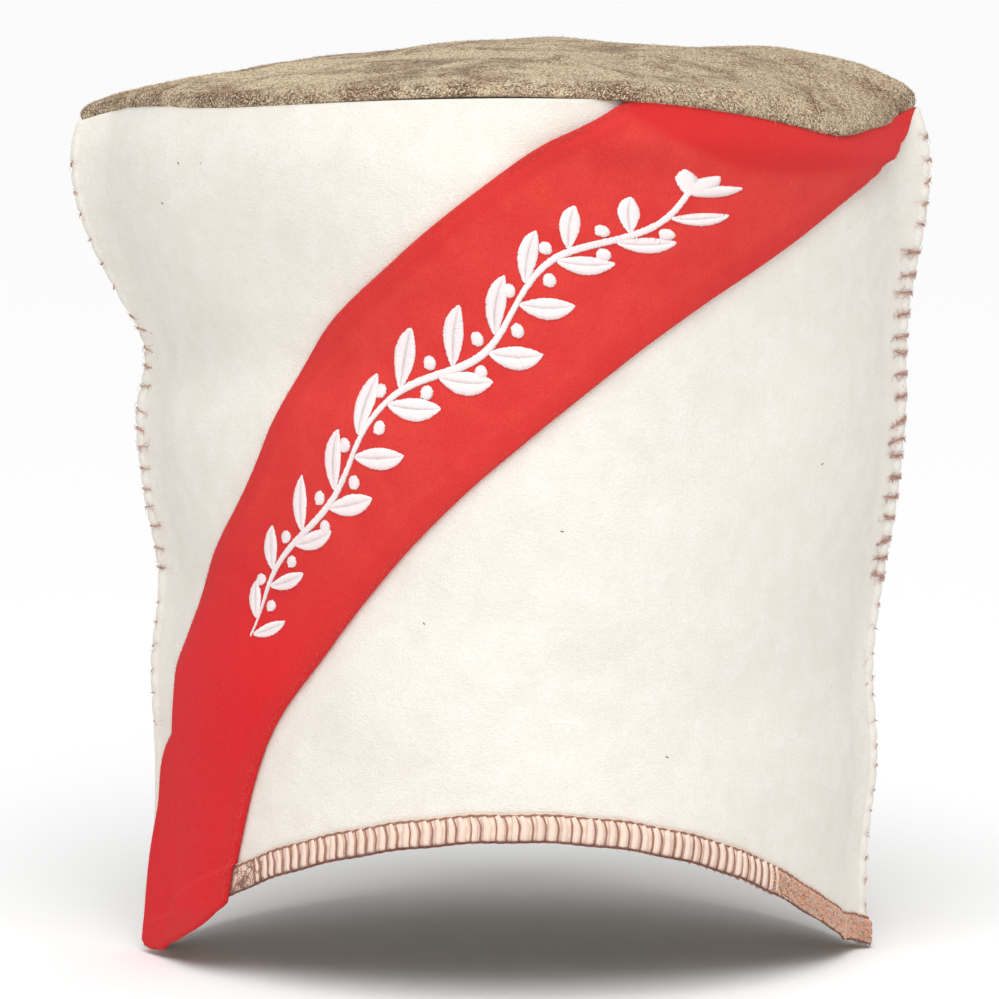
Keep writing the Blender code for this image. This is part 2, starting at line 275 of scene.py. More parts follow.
def crowd(t: Array, strength: float) -> Array:
    """Moves places on a unit line closer together at its ends, most with strength 1."""
    return t - strength * np.sin(2 * math.pi * t) / (2 * math.pi)


def unit(vectors: Array) -> Array:
    """Scales vectors along the last axis to length 1."""
    return vectors / np.maximum(np.linalg.norm(vectors, axis=-1, keepdims=True), 1e-12)


def smooth(table: Array, at: Array) -> Array:
    """Reads a table's other columns at places along its first one, on a smooth curve.

    Args:
        table: Rows whose first value rises from row to row.
        at: The places to read.

    Returns:
        One row of values for each of the table's other columns.
    """
    x, y = table[:, 0], table[:, 1:]
    slope = np.gradient(y, x, axis=0)
    at = np.atleast_1d(at)
    i = np.clip(np.searchsorted(x, at) - 1, 0, len(x) - 2)
    span = (x[i + 1] - x[i])[:, None]
    t = np.clip((at - x[i]) / (x[i + 1] - x[i]), 0, 1)[:, None]
    start = y[i] * (2 * t**3 - 3 * t**2 + 1) + slope[i] * span * (t**3 - 2 * t**2 + t)
    end = y[i + 1] * (3 * t**2 - 2 * t**3) + slope[i + 1] * span * (t**3 - t**2)
    return (start + end).T


def linear(colour: Colour) -> tuple[float, ...]:
    """Turns a screen colour from 0 to 255 into the shader's linear one.

    Args:
        colour: Red, green and blue.

    Returns:
        Linear red, green and blue, and alpha 1.
    """
    values = [c / 255 for c in colour]
    rgb = [c / 12.92 if c <= 0.04045 else ((c + 0.055) / 1.055) ** 2.4 for c in values]
    return (*rgb, 1.0)


def pucker(side: Array, height: Array) -> Array:
    """How much the seams' stitches draw the felt in.

    Args:
        side: The seam, -1 or 1.
        height: Heights.

    Returns:
        Shares from 0, between stitches, to 1, at one.
    """
    reach = 1.1 * MM
    stitches = [(run.side.value, level) for run in SEAM_RUNS for level in run.levels()]
    return sum((side == seam) * bell((height - level) / reach) for seam, level in stitches)


@dataclass(frozen=True)
class HatForm:
    """The hat's body form, with the same sizes as the solids."""

    felt: float = 3.0 * MM
    gap: float = 0.3 * MM  # clearance between touching pieces
    flange: float = 2.0 * MM  # reach of the flat flange at each seam
    hem_rise: float = 41.4 * MM  # height of the hem's arch in the middle
    hem_flat: float = 0.135  # share of the depth beside a seam where the hem is level
    hem_powers: tuple[float, float] = (0.80, 0.92)  # shape of the arch at either seam
    dent_fade: float = 0.3  # share of the depth beside a seam where dents fade out
    band: float = 5.2 * MM  # thickness of the felt and the threads round it at the hem
    tuck: float = 0.88  # how much of the hem's slope is taken out of its underside
    tuck_steps: float = 1.2  # most steps by which its inner side reads the arch further on
    closed_step: float = 3.0  # steps from a seam at which the panels' inner sides meet
    top_level: float = 218 * MM  # height at which the top edge's table is read
    bridge_steps: float = 5.0  # steps beside a seam where the outer face fills the fillet
    bridge: float = 0.85  # how much of the fillet it fills
    bridge_pull: float = 0.38  # how far the filling follows the wall, as a share of its length
    wedge: float = 1.1 * MM  # how much thicker the flange is at its root than at its tip
    flange_steps: int = 1
    fillet_steps: int = 3
    round_steps: int = 24

    @property
    def side_steps(self) -> int:
        """Columns from a seam's tip to the round front."""
        return self.flange_steps + self.fillet_steps

    @property
    def columns(self) -> int:
        """Columns from seam tip to seam tip."""
        return 2 * self.side_steps + self.round_steps

    def column_at(self, side: Array, step: Array) -> Array:
        """Columns at some steps from the seam tip of a side, -1 or 1."""
        return np.where(side < 0, step, self.columns - step)

    def steps(self, column: Array) -> tuple[Array, Array]:
        """Splits columns into their side, -1 or 1, and their steps from its seam tip."""
        side = np.where(column < self.columns / 2, -1.0, 1.0)
        return side, self.column_at(side, column)

    def around(self, column: Array) -> tuple[Array, Array]:
        """Place of a column round the panel.

        Args:
            column: Columns.

        Returns:
            The place from side to side, -1 to 1, and the share of the depth, 0 to 1.
        """
        side, step = self.steps(column)
        turn = math.pi * np.maximum(step - self.side_steps, 0) / self.round_steps
        return side * np.cos(turn), np.sin(turn)

    def section(self, column: Array, height: Array) -> tuple[Array, Array, Array, Array]:
        """The front panel's middle line in plan.

        Args:
            column: Columns.
            height: Heights.

        Returns:
            x and y, and the outward normal's x and y.
        """
        left, right, depth, fillet, seam_turn = smooth(BODY_ROWS, height / MM)
        left, right, depth, fillet = left * MM, right * MM, depth * MM, fillet * MM
        seam_turn = np.radians(seam_turn)
        seam_y = (self.felt + self.gap) / 2
        side, step = self.steps(column)
        root = (left + right) / 2 - self.flange
        wide = root - fillet * np.sin(seam_turn)
        start = seam_y + fillet * (1 - np.cos(seam_turn))
        deep = depth - start
        lean = deep / wide / np.tan(seam_turn)
        bend = seam_turn * (step - self.flange_steps) / self.fillet_steps
        turn = math.pi * (step - self.side_steps) / self.round_steps
        zones = [step <= self.flange_steps, step <= self.side_steps]
        x_flange = root + self.flange * (1 - step / self.flange_steps)
        x_round = wide * ((1 - lean) * np.cos(turn) + lean * (1 - np.sin(turn)))
        y_fillet = seam_y + fillet * (1 - np.cos(bend))
        ny_round = wide * ((1 - lean) * np.sin(turn) + lean * np.cos(turn))
        x = np.select(zones, [x_flange, root - fillet * np.sin(bend)], x_round)
        y = np.select(zones, [seam_y + 0 * step, y_fillet], start + deep * np.sin(turn))
        nx = np.select(zones, [0 * step, np.sin(bend)], deep * np.cos(turn))
        ny = np.select(zones, [1 + 0 * step, np.cos(bend)], ny_round)
        size = np.hypot(nx, ny)
        return (right - left) / 2 + side * x, -y, side * nx / size, -ny / size

    def hem_height(self, column: Array) -> Array:
        """Height of the hem's underside.

        Args:
            column: Columns.

        Returns:
            Heights.
        """
        place, share = self.around(column)
        side, step = self.steps(column)
        left, right = self.hem_powers
        power = (left + right) / 2 + (right - left) / 2 * place
        curl = np.where(side < 0, *smooth(CORNER_ROWS, step)) * MM
        arch = np.clip((share - self.hem_flat) / (1 - self.hem_flat), 0, 1) ** power
        return self.hem_rise * arch + curl

    def hem_tuck(self, column: Array) -> Array:
        """How much higher the hem is inside the hat, so that its underside follows the arch.

        Args:
            column: Columns.

        Returns:
            Heights.
        """
        side, step = self.steps(column)
        level, near = 0 * column, 0.1
        _, _, nx, ny = self.section(column, level)
        ahead = np.stack(self.section(column + near, level)[:2])
        behind = np.stack(self.section(column - near, level)[:2])
        pitch = np.hypot(*(ahead - behind)) / (2 * near)
        shift = self.band * np.abs(nx) / np.maximum(np.abs(ny) * pitch, 1e-4)
        inner = np.maximum(step, self.closed_step) + np.clip(shift, 0, self.tuck_steps)
        rise = self.hem_height(self.column_at(side, inner)) - self.hem_height(column)
        return self.tuck * rise

    def top_height(self, column: Array) -> Array:
        """Height of the panels' top edge at columns."""
        x, _, _, _ = self.section(column, np.full(len(column), self.top_level))
        return smooth(TOP_ROWS, x / MM)[0] * MM

    def fold_depth(self, column: Array, height: Array, half: Half) -> Array:
        """How far the folds and the felt's own waves press a place inwards.

        Args:
            column: Columns.
            height: Heights.
            half: The panel.

        Returns:
            Depths, negative where the felt swells.
        """
        place, share = self.around(column)
        depth = 0 * height
        for fold in FOLDS[half]:
            upward = bell((height / MM - fold.height) / fold.upward)
            depth = depth + fold.depth * MM * bell((place - fold.place) / fold.reach) * upward
        for ripple in RIPPLES:
            run = 2 * math.pi * (height / MM / ripple.upward + column / ripple.columns)
            depth = depth + ripple.depth * MM * np.sin(run + ripple.phase)
        return depth * ease(share / self.dent_fade)

    def skin(self, column: Array, height: Array, offset: Array, half: Half) -> Array:
        """Points at an offset outside a panel's middle surface.

        Args:
            column: Columns.
            height: Heights.
            offset: Distances outwards.
            half: The panel.

        Returns:
            Points as rows of x, y and z.
        """
        side, step = self.steps(column)
        spots = [column]
        for at in (self.bridge_steps, self.bridge_steps + 0.2, self.flange_steps):
            spots.append(self.column_at(side, float(at)) + 0 * column)
        made = []
        for spot in spots:
            x, y, nx, ny = self.section(spot, height)
            out = offset - self.fold_depth(spot, height, half)
            made.append(np.stack([x + nx * out, y + ny * out], -1))
        plan, start, before, end = made
        span = self.bridge_steps - self.flange_steps
        t = np.clip((self.bridge_steps - step) / span, 0, 1)[:, None]
        length = np.linalg.norm(end - start, axis=1, keepdims=True)
        ahead = self.bridge_pull * unit(start - before) * length
        filled = start + 2 * t * (1 - t) * ahead + t**2 * (end - start)
        share = np.clip(offset / self.felt + 0.5, 0, 1) * self.bridge
        inner, outer = step > self.flange_steps, step < self.bridge_steps
        plan = plan + (filled - plan) * (share * inner * outer)[:, None]
        grown = np.where(inner, t[:, 0] ** 2, np.clip(step / self.flange_steps, 0, 1))
        plan[:, 1] -= self.wedge * share * grown
        if half is Half.BACK:
            plan[:, 1] *= -1
        return np.column_stack([plan, height + 0 * column])

    def wrap(self, column: Array, height: Array, offset: Array, half: Half) -> Array:
        """Points outside a panel that also close round the seam's tip.

        Args:
            column: Columns.
            height: Heights.
            offset: Distances outside the panel's middle surface, past its outer face.
            half: The panel.

        Returns:
            Points as rows of x, y and z.
        """
        side, step = self.steps(column)
        points = self.skin(column, height, offset, half)
        root = self.skin(self.column_at(side, 1.0), height, offset, half)
        turn = np.clip(step, 0, 1) * math.pi / 2
        out = side * (self.flange + offset - self.felt / 2)
        on_tip = step < self.flange_steps
        points[:, 0] = np.where(on_tip, root[:, 0] + out * np.cos(turn), points[:, 0])
        points[:, 1] = np.where(on_tip, root[:, 1] * np.sin(turn), points[:, 1])
        return points


def finish(piece: Piece, slot: str, *replaced: str) -> None:
    """Smooths a piece and hands it to the frame.

    Args:
        piece: The piece, in place in its mesh.
        slot: Not used.
        replaced: CAD nodes that it stands for.
    """
    piece.data.shade_smooth()
    bpy.context.scene.collection.objects.link(piece)
    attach(piece, BODY)
    if replaced:
        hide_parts(*replaced)
    piece.data.calc_loop_triangles()
    LOG.info("%s: %d triangles", piece.name, len(piece.data.loop_triangles))


def unit_grid(across: int, along: int, shell: bool) -> tuple[Cage, Array, Array, Array]:
    """A flat unit grid, or a closed shell of two of them.

    Args:
        across: Faces across it.
        along: Faces along it.
        shell: Whether it gets a second layer, joined to the first at its rim.

    Returns:
        The cage, and each vertex's u, v and level: 1 on the outer layer, -1 on the other.
    """
    cage = bmesh.new()
    bmesh.ops.create_grid(cage, x_segments=across, y_segments=along, size=0.5)
    outer = set()
    if shell:
        parts = cage.faces[:] + cage.edges[:] + cage.verts[:]
        grown = bmesh.ops.extrude_face_region(cage, geom=parts)["geom"]
        outer = {item for item in grown if isinstance(item, bmesh.types.BMVert)}
    flat = np.array([vertex.co for vertex in cage.verts]) + 0.5
    level = np.array([1.0 if vertex in outer else -1.0 for vertex in cage.verts])
    return cage, flat[:, 0], flat[:, 1], level


def cast(
    name: str, cage: Cage, points: Array, material: Material,
    uv: tuple[Array, Array] | None = None, masks: dict[str, Array] | None = None,
) -> Piece:  # fmt: skip
    """Moves a cage's vertices to their points and makes an object of it.

    Args:
        name: The object's name.
        cage: The cage, which is freed.
        points: A point for each vertex; vertices that meet are merged.
        material: Its material.
        uv: Each vertex's place on a UV map in metres.
        masks: Values from 0 to 1 for each vertex, by attribute name.

    Returns:
        The object, not yet in the scene.
    """
    layers = [(cage.verts.layers.float.new(key), mask) for key, mask in (masks or {}).items()]
    if uv:
        layer = cage.loops.layers.uv.new("UVMap")
        for loop in (loop for face in cage.faces for loop in face.loops):
            loop[layer].uv = [way[loop.vert.index] for way in uv]
    for i, vertex in enumerate(cage.verts):
        vertex.co = points[i]
        for layer, mask in layers:
            vertex[layer] = mask[i]
    if uv:
        bmesh.ops.remove_doubles(cage, verts=cage.verts, dist=1e-6)
    bmesh.ops.recalc_face_normals(cage, faces=cage.faces)
    mesh = bpy.data.meshes.new(name)
    cage.to_mesh(mesh)
    cage.free()
    mesh.materials.append(material)
    return bpy.data.objects.new(name, mesh)


@dataclass(frozen=True)
class Strands:
    """Many like threads or fibres that are joined into one piece."""

    name: str
    sides: int  # sides of each strand's section
    material: Material
    slot: str = "thread"

    def template(self, rings: int) -> tuple[Array, Array, list[list[int]]]:
        """One strand's section and faces, from a cut prism.

        Args:
            rings: Points along the strand.

        Returns:
            Each vertex's ring and angle, and the faces.
        """
        cage = bmesh.new()
        bmesh.ops.create_cone(
            cage, cap_ends=True, segments=self.sides, radius1=1, radius2=1, depth=2
        )
        if rings > 2:
            upright = [e for e in cage.edges if abs(e.verts[0].co.z - e.verts[1].co.z) > 1]
            bmesh.ops.subdivide_edges(cage, edges=upright, cuts=rings - 2)
        bmesh.ops.recalc_face_normals(cage, faces=cage.faces)
        cage.verts.index_update()
        corners = np.array([vertex.co for vertex in cage.verts])
        faces = [[vertex.index for vertex in face.verts] for face in cage.faces]
        cage.free()
        ring = np.rint((corners[:, 2] + 1) / 2 * (rings - 1)).astype(int)
        return ring, np.arctan2(corners[:, 1], corners[:, 0]), faces

    def lay(self, paths: Array, ups: Array, wide: Array | float, thick: Array | float) -> None:
        """Sweeps the section along every path and hands the piece to the frame.

        Args:
            paths: Points, as strand by ring by xyz.
            ups: Directions away from what the strands lie on, in the same order.
            wide: Half widths along the surface, one or strand by ring.
            thick: Half thicknesses along ups, one or strand by ring.
        """
        shape = paths.shape[:2]
        ring, angle, faces = self.template(shape[1])
        along = unit(np.gradient(paths, axis=1))
        side = unit(np.cross(along, ups))
        top = np.cross(side, along)
        points = paths[:, ring]
        for way, size, turn in ((side, wide, np.cos(angle)), (top, thick, np.sin(angle))):
            reach = np.broadcast_to(size, shape)[:, ring, None]
            points = points + way[:, ring] * reach * turn[:, None]
        corners = np.concatenate(faces)
        totals = np.array([len(face) for face in faces])
        loops = corners + np.arange(shape[0])[:, None] * len(ring)
        tiled = np.tile(totals, shape[0])
        mesh = bpy.data.meshes.new(self.name)
        mesh.vertices.add(shape[0] * len(ring))
        mesh.vertices.foreach_set("co", points.astype(np.float32).ravel())
        mesh.loops.add(loops.size)
        mesh.loops.foreach_set("vertex_index", loops.astype(np.int32).ravel())
        mesh.polygons.add(len(tiled))
        mesh.polygons.foreach_set("loop_start", (np.cumsum(tiled) - tiled).astype(np.int32))
        lengths = np.linalg.norm(np.diff(paths, axis=1), axis=2)
        run = np.pad(np.cumsum(lengths, axis=1), ((0, 0), (1, 0)))
        turn = angle[corners] / (2 * math.pi)
        first = np.repeat(turn[np.cumsum(totals) - totals], totals)
        turn = turn + np.rint(first - turn)
        flat = np.stack([np.tile(turn, shape[0]), run[:, ring[corners]].ravel()], -1)
        layer = mesh.uv_layers.new(name="UVMap")
        layer.data.foreach_set("uv", flat.astype(np.float32).ravel())
        mesh.update(calc_edges=True)
        mesh.validate()
        mesh.materials.append(self.material)
        finish(bpy.data.objects.new(self.name, mesh), self.slot)


@dataclass(frozen=True)
class Nap:
    """A thin coat of loose fibres on a felt piece."""

    count: int
    length: float  # the longest fibre's
    radius: float  # half thickness of a fibre
    stand: float  # how far up the fibres stand, as a share of their length
    seed: int
    rings: int = 2  # points along a fibre, 2 or 3
    step: float = 1e-3  # distance on the unit square at which slopes are read

    def grow(self, name: str, slot: str, surface: Surface, material: Material) -> None:
        """Scatters curved fibres on a surface.

        Args:
            name: The piece's name.
            slot: The record's material slot.
            surface: Gives points from places on a unit square, facing out of the felt.
            material: The fibres' material.
        """
        dice = np.random.default_rng(self.seed)
        a, b = dice.uniform(0, 1 - self.step, (2, self.count))
        base = surface(a, b)
        across = surface(a + self.step, b) - base
        normal = unit(np.cross(across, surface(a, b + self.step) - base))
        across = unit(across)
        heading = dice.uniform(0, 2 * math.pi, (self.count, 1))
        lying = across * np.cos(heading) + np.cross(normal, across) * np.sin(heading)
        curl = np.cross(normal, lying) * dice.normal(0, 0.3, (self.count, 1))
        reach = self.length * dice.uniform(0.35, 1, (self.count, 1))
        up = self.stand * dice.uniform(0.2, 1, (self.count, 1))
        root = base - normal * self.radius
        middle = base + reach * (0.45 * lying + 0.60 * up * normal)
        tip = base + reach * (0.90 * lying + 0.70 * up * normal + curl)
        kept = [0, 1, 2] if self.rings == 3 else [0, 2]
        paths = np.stack([root, middle, tip], axis=1)[:, kept]
        ups = np.repeat(normal[:, None, :], len(kept), axis=1)
        thick = self.radius * np.array([1.0, 0.85, 0.35])[kept]
        Strands(name, 3, material, slot).lay(paths, ups, thick, thick)


class Graph:
    """Adds nodes to a tree and joins them."""

    def __init__(self, tree: Tree) -> None:
        """Starts on a tree."""
        self.tree = tree

    def feed(self, node: Node, feeds: Feeds) -> None:
        """Sets or links a node's inputs.

        Args:
            node: The node.
            feeds: Values or sockets for its inputs.
        """
        for key, value in feeds.items():
            if isinstance(value, Socket):
                self.tree.links.new(value, node.inputs[key])
            else:
                node.inputs[key].default_value = value

    def add(self, kind: str, feeds: Feeds | None = None, **settings: object) -> Node:
        """Adds a node.

        Args:
            kind: The node's type.
            feeds: Values or sockets for its inputs.
            settings: Its other settings.

        Returns:
            The node.
        """
        node = self.tree.nodes.new(kind)
        for name, value in settings.items():
            setattr(node, name, value)
        self.feed(node, feeds or {})
        return node

    def math(self, operation: str, first: object, second: object = 0.0) -> Socket:
        """Adds a Math node."""
        return self.add("ShaderNodeMath", {0: first, 1: second}, operation=operation).outputs[0]

    def times(self, first: object, second: object) -> Socket:
        """Multiplies two values."""
        return self.math("MULTIPLY", first, second)

    def mix(self, share: object, first: object, second: object) -> Socket:
        """Mixes two colours, with a share of the second."""
        feeds = {0: share, 6: first, 7: second}
        return self.add("ShaderNodeMix", feeds, data_type="RGBA").outputs[2]

    def span(self, value: object, low: float, high: float) -> Socket:
        """Stretches a value so that low becomes 0 and high becomes 1, and keeps it there."""
        feeds = {"Value": value, "From Min": low, "From Max": high}
        return self.add("ShaderNodeMapRange", feeds).outputs[0]

    def noise(self, at: Socket, scale: object, detail: float, distortion: float = 0.0) -> Socket:
        """Adds a Noise Texture."""
        feeds = {"Vector": at, "Scale": scale, "Detail": detail, "Distortion": distortion}
        return self.add("ShaderNodeTexNoise", feeds).outputs[0]

    def place(self, kind: str = "Object") -> Socket:
        """Reads the place on the object or on its UV map."""
        return self.add("ShaderNodeTexCoord").outputs[kind]

    def mask(self, name: str) -> Socket:
        """Reads one of the mesh's masks."""
        return self.add("ShaderNodeAttribute", attribute_name=name).outputs["Fac"]


def felt_fibres(graph: Graph, given: Node) -> Feeds:
    """Matted wool: short crossing fibres and soft clumps.

    Args:
        graph: The group's graph.
        given: Its input node, whose Grain and Clump are sizes in metres.

    Returns:
        The group's outputs.
    """
    place = graph.place()
    fine = graph.math("DIVIDE", 1.0, given.outputs["Grain"])
    layers = []
    for turn, stretch in (((0.5, 0.2, 0.4), (1, 1, 0.22)), ((0.1, 0.7, 2.0), (0.22, 1, 1))):
        feeds = {"Vector": place, "Rotation": turn, "Scale": stretch}
        turned = graph.add("ShaderNodeMapping", feeds).outputs[0]
        layers.append(graph.noise(turned, fine, 2.0, 0.6))
    strokes = graph.math("MAXIMUM", *layers)
    grain = graph.noise(place, fine, 3.0, 0.4)
    fibres = graph.span(graph.math("ADD", strokes, grain), 0.80, 1.32)
    rough = graph.noise(place, graph.math("DIVIDE", 1.0, given.outputs["Clump"]), 2.0, 0.3)
    clumps = graph.span(rough, 0.32, 0.68)
    height = graph.math("ADD", graph.times(fibres, 0.7), graph.times(clumps, 0.5))
    return {"Fibres": fibres, "Clumps": clumps, "Height": height}


def wool_flecks(graph: Graph, given: Node) -> Feeds:
    """Loose pale and dark fibres in mixed wool, and its larger patches.

    Args:
        graph: The group's graph.
        given: Its input node, whose Fleck and Patch are sizes in metres.

    Returns:
        The group's outputs.
    """
    place = graph.place()
    fine = graph.math("DIVIDE", 1.0, given.outputs["Fleck"])
    feeds = {"Vector": place, "Location": (3.1, 1.7, 5.3)}
    moved = graph.add("ShaderNodeMapping", feeds).outputs[0]
    feeds = {"Vector": place, "Scale": graph.times(fine, 1.5)}
    cells = graph.add("ShaderNodeTexVoronoi", feeds).outputs["Color"]
    tone = graph.add("ShaderNodeSeparateColor", {0: cells}).outputs[0]
    layers = []
    for at, ends, tones in (
        (place, (0.50, 0.64), (0.70, 0.82)),
        (moved, (0.51, 0.66), (0.32, 0.18)),
    ):
        strokes = graph.span(graph.noise(at, fine, 3.0, 1.2), *ends)
        layers.append(graph.math("MAXIMUM", graph.times(strokes, 0.7), graph.span(tone, *tones)))
    wide = graph.noise(moved, graph.math("DIVIDE", 1.0, given.outputs["Patch"]), 3.0, 0.8)
    return {"Pale": layers[0], "Dark": layers[1], "Patches": graph.span(wide, 0.42, 0.60)}


def thread_plies(graph: Graph, given: Node) -> Feeds:
    """Twisted plies round a thread, from a UV map of turns and metres.

    Args:
        graph: The group's graph.
        given: Its input node, whose Pitch is the length of a turn in metres.

    Returns:
        The group's outputs.
    """
    flat = graph.add("ShaderNodeSeparateXYZ", {0: graph.place("UV")})
    around = graph.times(flat.outputs[0], given.outputs["Plies"])
    along = graph.math("DIVIDE", flat.outputs[1], given.outputs["Pitch"])
    phase = graph.times(graph.math("ADD", around, along), 2 * math.pi)
    return {"Ply": graph.span(graph.math("SINE", phase), -1.0, 1.0)}


class Effects:
    """Node groups that more than one finish uses."""

    def __init__(self) -> None:
        """Makes the groups, with their inputs' usual values."""
        self.felt = self.group(felt_fibres, Grain=0.5 * MM, Clump=6 * MM)
        self.flecks = self.group(wool_flecks, Fleck=0.6 * MM, Patch=14 * MM)
        self.plies = self.group(thread_plies, Plies=3.0, Pitch=2 * MM)

    @staticmethod
    def group(fill: Callable[[Graph, Node], Feeds], **inputs: float) -> Tree:
        """Makes a node group.

        Args:
            fill: Adds its nodes and gives its outputs.
            inputs: Its inputs and their values.

        Returns:
            The group.
        """
        tree = bpy.data.node_groups.new(fill.__name__, "ShaderNodeTree")
        kind = "NodeSocketFloat"
        for key, value in inputs.items():
            socket = tree.interface.new_socket(name=key, in_out="INPUT", socket_type=kind)
            socket.default_value = value
        graph = Graph(tree)
        outputs = fill(graph, graph.add("NodeGroupInput"))
        for key in outputs:
            tree.interface.new_socket(name=key, in_out="OUTPUT", socket_type=kind)
        graph.add("NodeGroupOutput", outputs)
        return tree


@dataclass(frozen=True)
class Look:
    """What a finish gives to its shader."""

    colour: Socket
    height: Socket | None = None  # the relief's height
    strength: float = 0.0  # the relief's strength
    depth: float = 0.0  # the relief's depth
    sheen: float = 0.08  # how much its loose fibres catch light
    rough: float = 0.95


@dataclass(frozen=True)
class Finish:
    """What every finish has."""

    name: str
    colour: Colour  # its main screen colour

    def look(self, graph: Graph, effects: Effects) -> Look:
        """Adds the nodes of the finish. Each finish has its own."""
        raise NotImplementedError

    def make(self, effects: Effects) -> Material:
        """Makes the material, with a soft, dull shader.

        Args:
            effects: The shared groups.

        Returns:
            The material.
        """
        material = bpy.data.materials.new(self.name)
        material.use_nodes = True
        graph = Graph(material.node_tree)
        look = self.look(graph, effects)
        feeds = {"Base Color": look.colour, "Roughness": look.rough, "Specular IOR Level": 0.15}
        feeds |= {"Sheen Weight": look.sheen, "Sheen Roughness": 0.6}
        if look.height:
            relief = {"Height": look.height, "Strength": look.strength, "Distance": look.depth}
            feeds["Normal"] = graph.add("ShaderNodeBump", relief).outputs[0]
        graph.feed(material.node_tree.nodes["Principled BSDF"], feeds)
        return material


@dataclass(frozen=True)
class PlainFelt(Finish):
    """Felt of one colour with a little light and shade in its fibres."""

    deep: Colour = (225, 218, 204)  # between its fibres
    clouded: Colour = (240, 235, 224)  # in its clumps
    roll: Colour | None = None  # painted shade below the crown's rim, where the mask named roll is 1
    seam: Colour | None = None  # a darker red where the mask named seam is 1; at the tongue's end it is partly painted shade
    tip: Colour | None = None  # where the mask named tip is 1
    sheen: float = 0.12
    grain: float = 0.5 * MM
    clump: float = 7 * MM

    def look(self, graph: Graph, effects: Effects) -> Look:
        """Adds the nodes of the felt.

        Args:
            graph: The material's graph.
            effects: The shared groups.

        Returns:
            Its colour and relief.
        """
        sizes = {"Grain": self.grain, "Clump": self.clump}
        wool = graph.add("ShaderNodeGroup", sizes, node_tree=effects.felt).outputs
        colour = graph.mix(wool["Clumps"], linear(self.clouded), linear(self.colour))
        for key, coloured in (("tip", self.tip), ("roll", self.roll), ("seam", self.seam)):
            if coloured:
                colour = graph.mix(graph.mask(key), colour, linear(coloured))
        shade = graph.times(graph.math("SUBTRACT", 1.0, wool["Fibres"]), 0.5)
        colour = graph.mix(shade, colour, linear(self.deep))
        return Look(colour, wool["Height"], 0.5, 0.35 * MM, self.sheen)


@dataclass(frozen=True)
class MarlFelt(Finish):
    """Mixed grey-brown wool with pale and dark fibres and brown patches."""

    pale: Colour = (232, 218, 190)  # its pale fibres
    dark: Colour = (104, 82, 62)  # its dark fibres
    patch: Colour = (122, 80, 52)  # its patches
    rim: Colour = (104, 68, 50)  # the blotches along its rim

    def look(self, graph: Graph, effects: Effects) -> Look:
        """Adds the nodes of the wool.

        Args:
            graph: The material's graph.
            effects: The shared groups.

        Returns:
            Its colour and relief.
        """
        sizes = {"Grain": 0.7 * MM, "Clump": 5 * MM}
        wool = graph.add("ShaderNodeGroup", sizes, node_tree=effects.felt).outputs
        sizes = {"Patch": 16 * MM, "Fleck": 0.48 * MM}
        flecks = graph.add("ShaderNodeGroup", sizes, node_tree=effects.flecks).outputs
        side = graph.times(graph.mask("brown"), 0.42)
        patches = graph.math("MAXIMUM", graph.times(flecks["Patches"], 0.95), side)
        colour = graph.mix(patches, linear(self.colour), linear(self.patch))
        for share, strength, coloured in (
            (graph.times(graph.mask("rim"), wool["Clumps"]), 0.85, self.rim),
            (flecks["Pale"], 0.95, self.pale),
            (flecks["Dark"], 0.9, self.dark),
        ):
            colour = graph.mix(graph.times(share, strength), colour, linear(coloured))
        return Look(colour, wool["Height"], 0.8, 0.6 * MM, sheen=0.04)


@dataclass(frozen=True)
class Thread(Finish):
    """Twisted or flat thread."""

    deep: Colour = (120, 80, 66)  # between its plies
    plies: float = 3.0
    pitch: float = 1.6 * MM  # length of a turn; a long one gives flat, parallel filaments
    depth: float = 0.1 * MM
    spread: float = 0.45  # how deep the shade between the plies is
    faded: float = 0.35  # how far its worn places go towards white

    def look(self, graph: Graph, effects: Effects) -> Look:
        """Adds the nodes of the thread.

        Args:
            graph: The material's graph.
            effects: The shared groups.

        Returns:
            Its colour and relief.
        """
        sizes = {"Plies": self.plies, "Pitch": self.pitch}
        ply = graph.add("ShaderNodeGroup", sizes, node_tree=effects.plies).outputs["Ply"]
        shade = graph.times(graph.math("SUBTRACT", 1.0, ply), self.spread)
        colour = graph.mix(shade, linear(self.colour), linear(self.deep))
        worn = graph.span(graph.noise(graph.place(), 700.0, 2.0), 0.35, 0.7)
        white = tuple(round(c + (245 - c) * self.faded) for c in self.colour)
        colour = graph.mix(graph.times(worn, self.faded), colour, linear(white))
        return Look(colour, ply, 0.6, self.depth, sheen=0.1, rough=0.75)


@dataclass(frozen=True)
class Fibre(Finish):
    """Loose fibres of two colours."""

    other: Colour = (235, 228, 215)
    patch: Colour | None = None  # their colour in the wool's patches

    def look(self, graph: Graph, effects: Effects) -> Look:
        """Adds the nodes of the fibres.

        Args:
            graph: The material's graph.
            effects: The shared groups.

        Returns:
            Their colour.
        """
        sizes = {"Patch": 16 * MM} if self.patch else {}
        flecks = graph.add("ShaderNodeGroup", sizes, node_tree=effects.flecks).outputs
        colour = graph.mix(flecks["Pale"], linear(self.colour), linear(self.other))
        if self.patch:
            colour = graph.mix(graph.times(flecks["Patches"], 0.7), colour, linear(self.patch))
        return Look(colour, rough=0.85)


